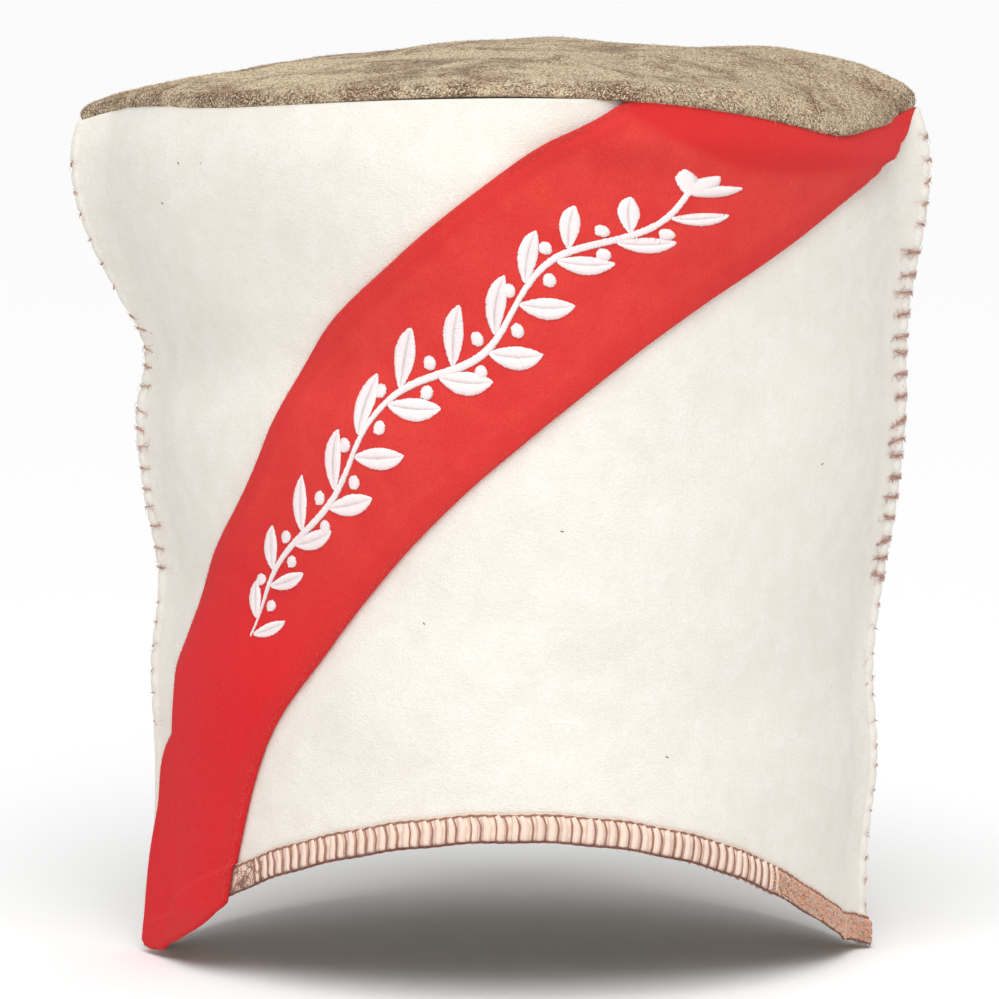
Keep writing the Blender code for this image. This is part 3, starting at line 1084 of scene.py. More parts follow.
FINISHES = (
    PlainFelt("white_wool_felt", (242, 238, 231), clouded=(236, 231, 221)),
    # in the red felt, roll is painted shade below the crown's rim, and seam is a darker edge red
    # that is partly painted shade at the tongue's end
    PlainFelt(
        "red_wool_felt", (226, 70, 62), deep=(200, 40, 42), clouded=(218, 60, 56),
        roll=(214, 44, 44), seam=(208, 46, 46), tip=(228, 20, 34), sheen=0.04,
        grain=0.42 * MM, clump=9 * MM,
    ),
    MarlFelt("marl_wool_felt", (236, 212, 174)),
    Thread("peach_thread", (248, 222, 204), (222, 188, 170), 14, 400 * MM, spread=0.5),
    Thread("brown_thread", (166, 110, 86)),
    Thread("dark_thread", (112, 60, 50), (70, 36, 32)),
    Thread("rust_thread", (255, 190, 152), (224, 140, 106)),
    Thread("white_cotton", (250, 240, 240), (226, 190, 192), 5, 300 * MM, 0.05 * MM, 0.35),
    Thread("seam_thread", (208, 156, 132), (176, 122, 100)),
    Fibre("lint_fibres", (96, 78, 66), (120, 98, 84)),
    Fibre("white_fibres", (246, 241, 230), (252, 249, 243)),
    Fibre("red_fibres", (222, 74, 68), (236, 120, 112)),
    Fibre("pink_fibres", (222, 178, 166), (198, 140, 124)),
    Fibre("pale_fibres", (242, 222, 188), (252, 240, 214), (184, 138, 98)),
    Fibre("dark_fibres", (134, 104, 78), (98, 72, 52), (106, 62, 40)),
)  # fmt: skip


@dataclass(frozen=True)
class BodyPanel:
    """One body panel of white felt."""

    form: HatForm
    half: Half
    across: int  # faces round it
    along: int = 170  # faces up it
    thread: float = 0.8 * MM  # thickness of the hem's thread
    slant: float = 0.29  # share of the hem's tuck between a face and the felt's middle
    drawn: float = 0.55 * MM  # how far a seam stitch draws the seam's edge in
    drawn_steps: float = 1.6  # steps from the seam's tip over which it does so
    squeezed: float = 0.3  # share of the thickness that a stitch squeezes out

    def place(self, u: Array, v: Array, level: Array) -> Array:
        """Points of the panel.

        Args:
            u: Places round it, 0 to 1.
            v: Places up it, 0 to 1.
            level: -1 for the inner face, 1 for the outer one.

        Returns:
            Points as rows of x, y and z.
        """
        form = self.form
        column = u * form.columns
        tuck = form.hem_tuck(column) * (0.5 - self.slant * level)
        low = form.hem_height(column) + self.thread + form.gap + tuck
        height = low + v * (form.top_height(column) - low)
        side, step = form.steps(column)
        edge = np.maximum(dome(step * form.flange, form.felt / 2), EDGE)
        pinch = pucker(side, height) * ease(1 - step / self.drawn_steps)
        thick = level * edge * form.felt / 2 * (1 - self.squeezed * pinch)
        points = form.skin(column, height, thick, self.half)
        points[:, 0] -= side * self.drawn * pinch
        return points

    def face(self, a: Array, b: Array) -> Array:
        """Points of the outer face, facing out."""
        return self.place(a if self.half is Half.FRONT else 1 - a, b, np.ones(len(a)))

    def build(self, felt: Material) -> None:
        """Builds the panel.

        Args:
            felt: Its material.
        """
        cage, u, v, level = unit_grid(self.across, self.along, shell=True)
        name = f"{self.half.value}_panel"
        piece = cast(f"{name}_felt", cage, self.place(u, v, level), felt)
        finish(piece, "white_felt", name)

    def lint(self, fibre: Material) -> None:
        """Leaves a few dark specks of lint on the panel.

        Args:
            fibre: Their material.
        """
        dice = np.random.default_rng(91)
        reach, radius, rings = 0.0016, 0.13 * MM, 3  # the reach is a share of the panel
        way = dice.uniform(-1, 1, (len(LINT), 2)) * reach
        spots = LINT[:, None] + way[:, None] * np.linspace(-1, 1, rings)[None, :, None]
        paths = self.face(*spots.reshape(-1, 2).T).reshape(len(LINT), rings, 3)
        ups = np.zeros_like(paths) + (0.0, -1.0, 0.0)
        Strands("front_panel_lint", 5, fibre, "white_felt").lay(paths, ups, radius, radius)


@dataclass(frozen=True)
class Crown:
    """The domed crown of mixed wool felt."""

    form: HatForm
    faces: int = 128
    felt: float = 3.2 * MM
    rise: float = 11.2 * MM  # height of its dome
    power: float = 6.5  # shape of the dome
    lip: float = 0.3 * MM  # reach of its rim past the panels
    lip_on_tongue: float = 2.8 * MM  # reach of its rim over the tongue
    lip_start: float = 0.25  # place where the rim starts to reach further
    lip_end: float = 0.40  # place where it has reached that far
    width: float = 200 * MM
    lump: float = 0.5 * MM  # height of its soft lumps
    shoulder: float = 1.5 * MM  # height of the swell at its right end
    shoulder_x: float = 102.0  # how far right of the middle the swell is, in mm
    shoulder_reach: float = 7.0  # half width of the swell, in mm
    hang_back: float = 0.8 * MM  # how far its rim hangs down behind
    hang_lean: float = 60.0  # how far a rim that hangs 5 mm leans over, in degrees
    drawn: tuple[float, float] = (1.0 * MM, 1.3 * MM)  # how far either seam draws its rim in
    drawn_steps: float = 4.0  # columns beside a seam over which it is drawn in
    nap_strip: float = 1.6 * MM  # width of the coat along its rim

    def rim(self, column: Array, half: Half) -> Array:
        """The rim's middle line above one panel.

        Args:
            column: Columns of the panel.
            half: The panel.

        Returns:
            Points as rows of x, y and z.
        """
        form = self.form
        place, _ = form.around(column)
        _, step = form.steps(column)
        on_tongue = ease((place - self.lip_start) / (self.lip_end - self.lip_start))
        on_tongue = on_tongue * ease(step / 3) * (half is Half.FRONT)
        reach = self.lip + on_tongue * (self.lip_on_tongue - self.lip)
        reach -= np.where(place < 0, *self.drawn) * (1 - ease(step / self.drawn_steps))
        rim = form.wrap(column, form.top_height(column), form.felt / 2 + reach, half)
        rim[:, 2] += form.gap + self.felt / 2
        return rim

    def span(self, u: Array, v: Array) -> Array:
        """A smooth surface stretched between the rims.

        Args:
            u: Places from side to side, 0 to 1.
            v: Places from the front rim to the back rim, 0 to 1.

        Returns:
            Points as rows of x, y and z.
        """
        columns = self.form.columns
        quarter = columns / 4
        beside = np.abs(v - 0.5) * 2 * quarter
        sides = []
        for column in (beside, columns - beside):
            ahead, back = (self.rim(column, half) for half in Half)
            sides.append(np.where((v > 0.5)[:, None], back, ahead))
        ends = [self.rim(quarter + columns / 2 * u, half) for half in Half]
        a, b = u[:, None], v[:, None]
        points = (1 - b) * ends[0] + b * ends[1] + (1 - a) * sides[0] + a * sides[1]
        for half, share in zip(Half, (1 - b, b)):
            for column, part in ((quarter, 1 - a), (columns - quarter, a)):
                points -= part * share * self.rim(np.full_like(u, column), half)
        return points

    def place(self, u: Array, v: Array, level: Array) -> Array:
        """Points of the crown.

        Args:
            u: Places from side to side, 0 to 1.
            v: Places from the front rim to the back rim, 0 to 1.
            level: -1 for the underside, 1 for the top.

        Returns:
            Points as rows of x, y and z.
        """
        points = self.span(u, v)
        ridge = smooth(CROWN_ROWS, 2 * u - 1)[0] * MM
        a, b = (1 - ridge / self.rise) ** (1 / self.power), 2 * v - 1
        edge = np.sqrt(a**2 + b**2 - a**2 * b**2)
        points[:, 2] += self.rise * (1 - edge**self.power)
        x, y = points[:, 0] / MM, points[:, 1] / MM
        lumps = np.sin(x / 9.5 + 0.6 * np.sin(y / 12)) * np.sin(y / 11 + 1.2)
        lumps += 0.6 * np.sin(x / 5.1 + y / 6.3 + 2) + 0.8 * np.sin(y / 17 - x / 23)
        inside = self.inside(u, v)
        points[:, 2] += self.lump * lumps * ease(inside / (12 * MM))
        swell = self.shoulder * bell((x - self.shoulder_x) / self.shoulder_reach)
        points[:, 2] += swell * ease(inside / (0.8 * MM))
        in_front = smooth(HANG_ROWS, x)[0] * MM
        hang = self.hang_back + (in_front - self.hang_back) * ease((0.56 - v) / 0.12)
        at_rim = 1 - ease(inside / (2.5 * MM + hang))
        lean = math.radians(self.hang_lean) * at_rim * np.clip(hang / (5 * MM), 0, 1)
        thick = level * self.felt / 2 * np.maximum(dome(inside, self.felt / 2), EDGE)
        thick = thick * (1 - 0.5 * lean)
        push = 0.35 * np.maximum(hang - 1.2 * MM, 0) * at_rim + thick * np.sin(lean)
        points[:, :2] += unit(points[:, :2]) * push[:, None]
        points[:, 2] += thick * np.cos(lean) - hang * at_rim
        return points

    def inside(self, u: Array, v: Array) -> Array:
        """Rough distance in from the rim."""
        return np.minimum(np.minimum(u, 1 - u), np.minimum(v, 1 - v)) * self.width

    def top(self, a: Array, b: Array) -> Array:
        """Points of the top, facing up."""
        return self.place(crowd(a, 0.6), crowd(b, 0.6), np.ones(len(a)))

    def strip(self, a: Array, b: Array) -> Array:
        """Points of a strip along the rim, facing up.

        Args:
            a: Places once round the rim, 0 to 1.
            b: Places in from the rim, 0 to 1.

        Returns:
            Points as rows of x, y and z.
        """
        side, along = np.divmod(4 * a, 1)
        across = 0.0001 + self.nap_strip / self.width * b
        sides = [side == i for i in range(3)]
        u = np.select(sides, [along, 1 - across, 1 - along], across)
        v = np.select(sides, [across, along, 1 - across], 1 - along)
        return self.place(u, v, np.ones(len(a)))

    def build(self, felt: Material) -> None:
        """Builds the crown.

        Args:
            felt: Its material.
        """
        cage, u, v, level = unit_grid(self.faces, self.faces, shell=True)
        u, v = crowd(u, 0.93), crowd(v, 0.93)
        points = self.place(u, v, level)
        rim = 1 - ease(self.inside(u, v) / (5 * MM))
        brown = ease((points[:, 0] + 40 * MM) / (130 * MM))
        piece = cast("crown_felt", cage, points, felt, masks={"rim": rim, "brown": brown})
        finish(piece, "marl_felt", "crown")


@dataclass
class Tongue:
    """The red felt tongue that slants across the front."""

    form: HatForm
    across: int = 64  # faces across it
    along: int = 290  # faces along it
    felt: float = 1.8 * MM
    clear: float = 0.5 * MM  # clearance over the panel
    ends: float = 0.16  # share of the length over which it follows the crown and the hem
    top_gap: float = -0.25 * MM  # clearance under the crown
    roll: float = 2.2 * MM  # height of the swell under the crown
    roll_drop: float = 9.0 * MM  # how far under the crown the swell is
    roll_reach: float = 6.0 * MM  # half width of the swell
    flap_steps: float = 5.5  # columns beside a seam that it bridges
    flap_reach: float = 2.0 * MM  # how far its flap reaches past the seam
    flap_y: float = 6.6 * MM  # how far in front of the seam its flap lies
    band: float = 7.0 * MM  # height of the hem's band
    thread: float = 0.8 * MM  # thickness of the hem's band
    ramp: float = 2.2 * MM  # height over which it comes off the band
    width: float = 49 * MM
    taper: float = 0.036  # share of the width that its lower part is narrower by
    taper_from: float = 0.68  # share of the length at which it starts to taper
    taper_over: float = 0.14  # share of the length over which it tapers
    corner: float = 2.6 * MM  # radius of the corners at its end
    shoulder: float = 0.038  # share of the width that its right shoulder is pulled in by
    shoulder_run: float = 13.5 * MM  # run at which it is pulled in
    shoulder_reach: float = 3.2 * MM  # half length of that place
    pressed: float = 4.2 * MM  # distance of the pressed line from each edge
    groove: float = 0.10 * MM  # depth of the pressed line
    groove_reach: float = 1.1 * MM  # half width of the pressed line
    band_reach: float = 5.0 * MM  # width of the deeper red along each edge
    nap_strip: float = 1.2 * MM  # width of the coat along each edge
    arc_span: tuple[float, float] = (-2 * MM, 226 * MM)  # heights that the arcs cover
    arc_rows: int = 115  # heights at which arcs are measured
    arc_samples: int = 16  # measured places in a column
    arcs: tuple[Array, Array, Array] = field(init=False)

    def __post_init__(self) -> None:
        """Measures once how long each height's arc is, from the front's middle to a column."""
        past = 2  # columns past the seams
        columns = self.form.columns
        heights = np.linspace(*self.arc_span, self.arc_rows)
        spots = np.linspace(-past, columns + past, self.arc_samples * (columns + 2 * past) + 1)
        lengths = []
        for height in heights:
            x, y, _, _ = self.form.section(spots, np.full_like(spots, height))
            length = np.pad(np.cumsum(np.hypot(np.diff(x), np.diff(y))), (1, 0))
            lengths.append(length - length[len(length) // 2])
        self.arcs = heights, spots, np.array(lengths)

    @property
    def length(self) -> float:
        """Length of the tongue."""
        return float(TONGUE_ROWS[-1, 0]) * MM

    def column_at(self, distance: Array, height: Array) -> Array:
        """Columns at distances round the front.

        Args:
            distance: Distances from the middle of the front.
            height: Heights.

        Returns:
            Columns.
        """
        heights, columns, lengths = self.arcs
        spot = (height - heights[0]) / (heights[1] - heights[0])
        spot = np.clip(spot, 0, len(heights) - 1.001)
        row = spot.astype(int)
        made = np.empty_like(distance)
        for r in np.unique(row):
            here = row == r
            low, high = (np.interp(distance[here], lengths[i], columns) for i in (r, r + 1))
            made[here] = low + (high - low) * (spot[here] - r)
        return made

    def route(self, u: Array, v: Array) -> tuple[Array, Array]:
        """Where a place on the tongue lies on the front panel.

        Args:
            u: Places across it, 0 at the upper edge.
            v: Places along it, 0 at the crown.

        Returns:
            Columns and heights.
        """
        form = self.form
        corner = np.clip(1 - np.minimum(u, 1 - u) * self.width / self.corner, 0, 1)
        v = v - (1 - np.sqrt(1 - corner**2)) * self.corner / self.length * v**20
        across = u
        beside = (v * self.length - self.shoulder_run) / self.shoulder_reach
        tapered = self.taper * ease((v - self.taper_from) / self.taper_over)
        u = u * (1 - self.shoulder * bell(beside) - tapered)
        rows = smooth(TONGUE_ROWS, v * TONGUE_ROWS[-1, 0]) * MM
        upper, upper_height, lower, lower_height = rows
        height = upper_height + u * (lower_height - upper_height)
        column = self.column_at(upper + u * (lower - upper), height)
        at_top = np.clip(1 - v / self.ends, 0, 1) ** 2
        at_hem = np.clip(1 - (1 - v) / self.ends, 0, 1) ** 2
        first, last = TONGUE_ROWS[0] * MM, TONGUE_ROWS[-1] * MM
        top_line = first[2] + u * (first[4] - first[2])
        hem_line = last[2] + u * (last[4] - last[2])
        height = height + at_top * (form.top_height(column) - self.top_gap - top_line)
        end = smooth(END_ROWS, 100 * np.clip(across, 0, 1))[0] * MM
        return column, height + at_hem * (end - hem_line)

    def under_crown(self, column: Array, height: Array) -> Array:
        """Distance of a place below the crown."""
        return self.form.top_height(column) - height

    def rest(self, column: Array, height: Array) -> Array:
        """Distance of the tongue's inner face from the panel's middle surface.

        Args:
            column: Columns.
            height: Heights.

        Returns:
            Distances.
        """
        over_band = height - self.form.hem_height(column) - self.band
        on_band = 1 - ease(over_band / self.ramp)
        drop = self.under_crown(column, height) - self.roll_drop
        swell = self.roll * bell(drop / self.roll_reach)
        return self.form.felt / 2 + self.clear + on_band * (self.form.gap + self.thread) + swell

    def surface(self, column: Array, height: Array, lift: Array) -> Array:
        """Points on or beside the tongue's middle surface.

        Args:
            column: Columns of the front panel.
            height: Heights.
            lift: Distances outside the middle surface.

        Returns:
            Points as rows of x, y and z.
        """
        form = self.form
        side, step = form.steps(column)
        wall = np.clip(column, self.flap_steps, form.columns - self.flap_steps)
        points = form.skin(wall, height, self.rest(column, height) + self.felt / 2, Half.FRONT)
        _, _, nx, ny = form.section(wall, height)
        tip_x, _, _, _ = form.section(form.column_at(side, 0.0), height)
        out = np.stack([tip_x + side * self.flap_reach - points[:, 0], -self.flap_y - points[:, 1]])
        ahead = side * np.stack([-ny, nx]) * np.hypot(*out) / 2
        t = np.clip((self.flap_steps - step) / self.flap_steps, 0, None)
        run = (1 - 2 * t) * ahead + t * out
        normal = side * np.stack([run[1], -run[0]]) / np.hypot(*run)
        points[:, :2] += (2 * t * (1 - t) * ahead + t**2 * out + normal * lift).T
        return points

    def place(self, u: Array, v: Array, level: Array) -> Array:
        """Points of the tongue.

        Args:
            u: Places across it.
            v: Places along it.
            level: -1 for the inner face, 1 for the outer one.

        Returns:
            Points as rows of x, y and z.
        """
        across = np.minimum(u, 1 - u) * self.width
        rim = np.minimum(across, (1 - v) * self.length)
        edge = np.maximum(dome(rim, self.felt / 2), EDGE)
        dip = self.groove * bell((across - self.pressed) / self.groove_reach)
        sunk = self.clear * (1 - ease(across / (4 * MM)))
        out = level * edge * self.felt / 2 - (level > 0) * dip - sunk
        return self.surface(*self.route(u, v), out)

    def masks(self, u: Array, v: Array) -> dict[str, Array]:
        """Where the tongue's felt takes another tone.

        Args:
            u: Places across it.
            v: Places along it.

        Returns:
            Values for the painted shade below the crown's rim, for the edges, which at the tongue's
            end are partly painted shade, and for the lower part.
        """
        column, height = self.route(u, v)
        x, _, _, _ = self.form.section(column, height)
        # roll: painted shade below the crown's overhanging rim, reaching down the tongue as far as
        # the table gives
        reach = smooth(CROWN_SHADE_ROWS, x / MM)[0] * MM
        roll = 1 - ease((self.under_crown(column, height) - reach + 2 * MM) / (4 * MM))
        across = np.minimum(u, 1 - u) * self.width
        seam = 0.45 * (1 - ease((across - self.band_reach + 1.2 * MM) / (2.4 * MM)))
        # the tongue's end is darker: partly its dark reddish thread, partly painted shade on its
        # rounded lower edge
        end = 0.5 * ease((v - 0.97) / 0.03)
        return {"roll": roll, "seam": np.maximum(seam, end), "tip": 0.95 * ease((v - 0.50) / 0.30)}

    def face(self, a: Array, b: Array) -> Array:
        """Points of the outer face, facing out."""
        return self.place(1 - a, b * 0.999, np.ones(len(a)))

    def edges(self, a: Array, b: Array) -> Array:
        """Points of a strip along each edge, facing out."""
        strip = self.nap_strip / self.width
        return self.face(np.where(a < 0.5, 2 * a * strip, 1 - 2 * (1 - a) * strip), b)

    def build(self, felt: Material) -> None:
        """Builds the tongue.

        Args:
            felt: Its material.
        """
        cage, u, v, level = unit_grid(self.across, self.along, shell=True)
        u, v = crowd(u, 0.85), crowd(v, 0.7)
        piece = cast("tongue_felt", cage, self.place(u, v, level), felt, masks=self.masks(u, v))
        finish(piece, "red_felt", "tongue")


@dataclass(frozen=True)
class Wrap:
    """The threads that every stitch lays round the hem's edge."""

    name: str
    thread: str
    shift: float  # where in a stitch they lie, from 0 to 1
    lift: float  # how far they lie out from the route
    wide: float  # half width
    thick: float  # half thickness
    seed: int


@dataclass(frozen=True)
class Line:
    """A thread along the whole hem."""

    name: str
    thread: str
    offset: float  # its distance from the felt's middle
    height: float  # its height above the hem's underside
    scallop: float  # how far it dips between stitches
    radius: float


@dataclass(frozen=True)
class Tangle:
    """A patch of short crossing threads on the hem."""

    name: str
    thread: str
    start: float  # its left end, right of the middle
    end: float  # its right end, right of the middle
    count: int  # number of threads
    length: float  # length of the longest
    lean: float  # how far they lean to either side, in radians
    radius: float  # their half thickness
    crowding: float  # over 1 crowds them at the left end, under 1 at the right end
    seed: int


WRAPS = (
    Wrap("hem_bars", "peach_thread", 0.0, 0.0, 1.12 * MM, 0.26 * MM, 51),
    # hem_strands: a thin brown thread in the gaps between the peach wraps, which also stands for
    # the painted shade of those gaps
    Wrap("hem_strands", "brown_thread", 0.5, 0.12 * MM, 0.22 * MM, 0.2 * MM, 52),
)
LINES = (
    Line("hem_top_line", "brown_thread", 2.25 * MM, 7.25 * MM, 0.22 * MM, 0.2 * MM),
    Line("hem_top_cord", "peach_thread", 2.05 * MM, 7.62 * MM, 0.05 * MM, 0.26 * MM),
    Line("hem_low_line", "dark_thread", 2.45 * MM, 0.66 * MM, 0.05 * MM, 0.30 * MM),
)
TANGLES = (
    Tangle("hem_crossed_threads", "brown_thread", -74 * MM, -60 * MM, 80, 4.8 * MM, 0.85,
           0.08 * MM, 1.0, 61),
    Tangle("hem_rust_threads", "rust_thread", 68 * MM, 99 * MM, 1600, 1.7 * MM, 1.0,
           0.11 * MM, 0.7, 62),
    Tangle("hem_brown_threads", "brown_thread", 66 * MM, 99 * MM, 90, 1.5 * MM, 1.0,
           0.10 * MM, 0.7, 63),
    Tangle("hem_pale_threads", "peach_thread", 68 * MM, 99 * MM, 900, 1.9 * MM, 0.9,
           0.14 * MM, 0.8, 64),
)  # fmt: skip


@dataclass
class HemOverlock:
    """The overlocked hem: a thread-covered edge, its wrapped threads and its lines."""

    form: HatForm
    covered_column: float  # column of the front at which the tongue's end stops covering it
    outer: float = 2.6 * MM  # reach of the covered edge from the felt's middle
    root: float = 3.0  # steps from a seam at which its inner side starts to close
    samples: int = 1601  # stations at which the hem's length is measured
    stations: int = 640  # sections of the covered edge
    stitches: int = 198  # stitches round the whole hem
    slant: float = 1.5 * MM  # how far a wrap moves on from top to bottom
    wave: float = 0.38 * MM  # how far a wrap swings to either side on its way
    wrap_rings: int = 17  # points along a wrap
    line_rings: int = 1000  # points along a line
    wraps_from: float = 13 * MM  # run past the tongue's end at which the wraps begin
    dense_from: float = 71 * MM  # place right of the middle at which they end in the tangle
    runs: Array = field(init=False)
    spots: Array = field(init=False)
    covered: float = field(init=False)
    total: float = field(init=False)

    def __post_init__(self) -> None:
        """Measures the hem's length once round."""
        ahead = np.linspace(0, self.form.columns, self.samples)
        self.spots = np.concatenate([ahead, self.form.columns + ahead[1:]])
        points = self.point(self.spots, np.ones_like(self.spots), np.zeros_like(self.spots))
        length = np.linalg.norm(np.diff(points, axis=0), axis=1)
        self.runs = np.pad(np.cumsum(length), (1, 0))
        self.total = float(self.runs[-1])
        self.covered = float(np.interp(self.covered_column, self.spots, self.runs))

    def point(self, spot: Array, across: Array, lift: Array) -> Array:
        """Points of the covered edge.

        Args:
            spot: Columns of the front panel, then on round the back.
            across: 1 for the outer side, -1 for the inner side.
            lift: Heights above the hem's underside.

        Returns:
            Points as rows of x, y and z.
        """
        form = self.form
        spot = np.mod(spot, 2 * form.columns)
        front = spot <= form.columns
        column = np.where(front, spot, 2 * form.columns - spot)
        height = form.hem_height(column) + lift + form.hem_tuck(column) * (1 - across) / 2
        side, step = form.steps(column)
        closed = form.column_at(side, np.maximum(step, self.root))
        reach = np.full_like(height, self.outer)
        made = []
        for half in Half:
            outside = form.wrap(column, height, reach, half)
            inside = form.skin(closed, height, -reach, half)
            inside[:, 1] *= np.clip(step / self.root, 0, 1)
            made.append(inside + (outside - inside) * (across[:, None] + 1) / 2)
        return np.where(front[:, None], *made)

    def at(self, run: Array, offset: Array | float, lift: Array) -> Array:
        """Points at a run round the hem.

        Args:
            run: Lengths round the hem.
            offset: Distances from the felt's middle, outwards.
            lift: Heights above the hem's underside.

        Returns:
            Points in the shape of run.
        """
        spot = np.interp(np.mod(run, self.total), self.runs, self.spots)
        values = (spot, offset / self.outer, lift)
        flat = [np.broadcast_to(value, spot.shape).ravel() for value in values]
        return self.point(*flat).reshape(*spot.shape, 3)

    def run_at(self, x: float) -> float:
        """The run on the front hem at a distance right of the middle.

        Args:
            x: The distance.

        Returns:
            The run.
        """
        runs = np.linspace(0, self.total / 2, 400)
        return float(np.interp(x, self.at(runs, self.outer, 0 * runs)[:, 0], runs))

    def edge(self, thread: Material) -> None:
        """Builds the covered edge.

        Args:
            thread: Its material.
        """
        section = np.concatenate([EDGE_ROWS, EDGE_ROWS[-2::-1] * (-1, 1)]) * MM
        sides, stations = len(section), self.stations
        cage, u, v, _ = unit_grid(sides, stations, shell=False)
        corner = np.rint(u * sides).astype(int) % sides
        run = np.mod(np.rint(v * stations), stations) / stations * self.total
        points = self.at(run, section[corner, 0], section[corner, 1])
        piece = cast("hem_edge", cage, points, thread, uv=(u, v * self.total))
        finish(piece, "thread", "hem_overlock")

    def wrap(self, wrap: Wrap, thread: Material) -> None:
        """Wraps one thread of every stitch round the edge.

        Args:
            wrap: The threads.
            thread: Their material.
        """
        dice = np.random.default_rng(wrap.seed)
        route = np.concatenate([WRAP_ROWS, WRAP_ROWS[::-1] * (-1, 1)]) * MM
        reach = np.pad(np.cumsum(np.linalg.norm(np.diff(route, axis=0), axis=1)), (1, 0))
        along = np.linspace(0, reach[-1], self.wrap_rings)
        offset, height = (np.interp(along, reach, route[:, i]) for i in (0, 1))
        out = np.sign(offset) * wrap.lift
        even = (np.arange(self.stitches) + wrap.shift) * (self.total / self.stitches)
        start = even + dice.normal(0, 0.10 * MM, self.stitches)
        dense = (start > self.run_at(self.dense_from)) & (start < self.total / 2)
        start = start[(start > self.covered + self.wraps_from) & ~dense][:, None]
        t = along / reach[-1]
        wave = self.slant * (t - 0.5) * 2.2 + self.wave * np.sin(4 * math.pi * t)
        run = start + wave * dice.normal(1, 0.25, start.shape)
        top = dice.normal(0, 0.12 * MM, start.shape) * np.abs(2 * t - 1) ** 6
        paths = self.at(run, offset + out, height + top)
        above = self.at(run, offset * 1.4 + out, height - 0.3 * MM * (height < 1.2 * MM))
        wide = wrap.wide * (1 - 0.35 * np.abs(2 * t - 1) ** 5) * dice.normal(1, 0.08, start.shape)
        Strands(wrap.name, 6, thread).lay(paths, unit(above - paths), wide, wrap.thick)

    def line(self, line: Line, thread: Material) -> None:
        """Lays one thread along the whole hem.

        Args:
            line: The thread.
            thread: Its material.
        """
        run = np.linspace(self.covered, self.total, self.line_rings)[None]
        turn = 2 * math.pi * run / self.total
        sag = line.scallop * np.sin(turn * self.stitches) + 0.15 * MM * np.sin(turn * 31)
        paths = self.at(run, line.offset, line.height + sag)
        above = self.at(run, line.offset * 1.3, line.height + sag)
        Strands(line.name, 6, thread).lay(paths, unit(above - paths), line.radius, line.radius)

    def tangle(self, patch: Tangle, thread: Material) -> None:
        """Lays short crossing threads over a stretch of the front hem.

        Args:
            patch: The stretch and its threads.
            thread: Their material.
        """
        dice = np.random.default_rng(patch.seed)
        low, high = self.run_at(patch.start), self.run_at(patch.end)
        shape = (patch.count, 1)
        t = np.linspace(-0.5, 0.5, 4)
        middle = low + (high - low) * dice.uniform(0, 1, shape) ** patch.crowding
        height = dice.uniform(1.0, 6.7, shape) * MM
        lean = dice.choice([-1, 1], shape) * patch.lean + dice.normal(0, 0.25, shape)
        reach = patch.length * dice.uniform(0.5, 1.0, shape)
        run = middle + reach * np.sin(lean) * t + 0.2 * MM * np.sin(5 * t + 9 * height / MM)
        lift = np.clip(height + reach * np.cos(lean) * t, 0.7 * MM, 7.1 * MM)
        offset = dice.uniform(2.60, 2.84, shape) * MM - 0.5 * MM * (np.abs(t) > 0.45)
        paths = self.at(run, offset, lift)
        ups = unit(self.at(run, offset * 1.4, lift) - paths)
        Strands(patch.name, 4, thread).lay(paths, ups, patch.radius, patch.radius)

    def build(self, coloured: dict[str, Material]) -> None:
        """Sews the hem.

        Args:
            coloured: The finishes by name.
        """
        self.edge(coloured["peach_thread"])
        for sew, pieces in ((self.wrap, WRAPS), (self.line, LINES), (self.tangle, TANGLES)):
            for piece in pieces:
                sew(piece, coloured[piece.thread])


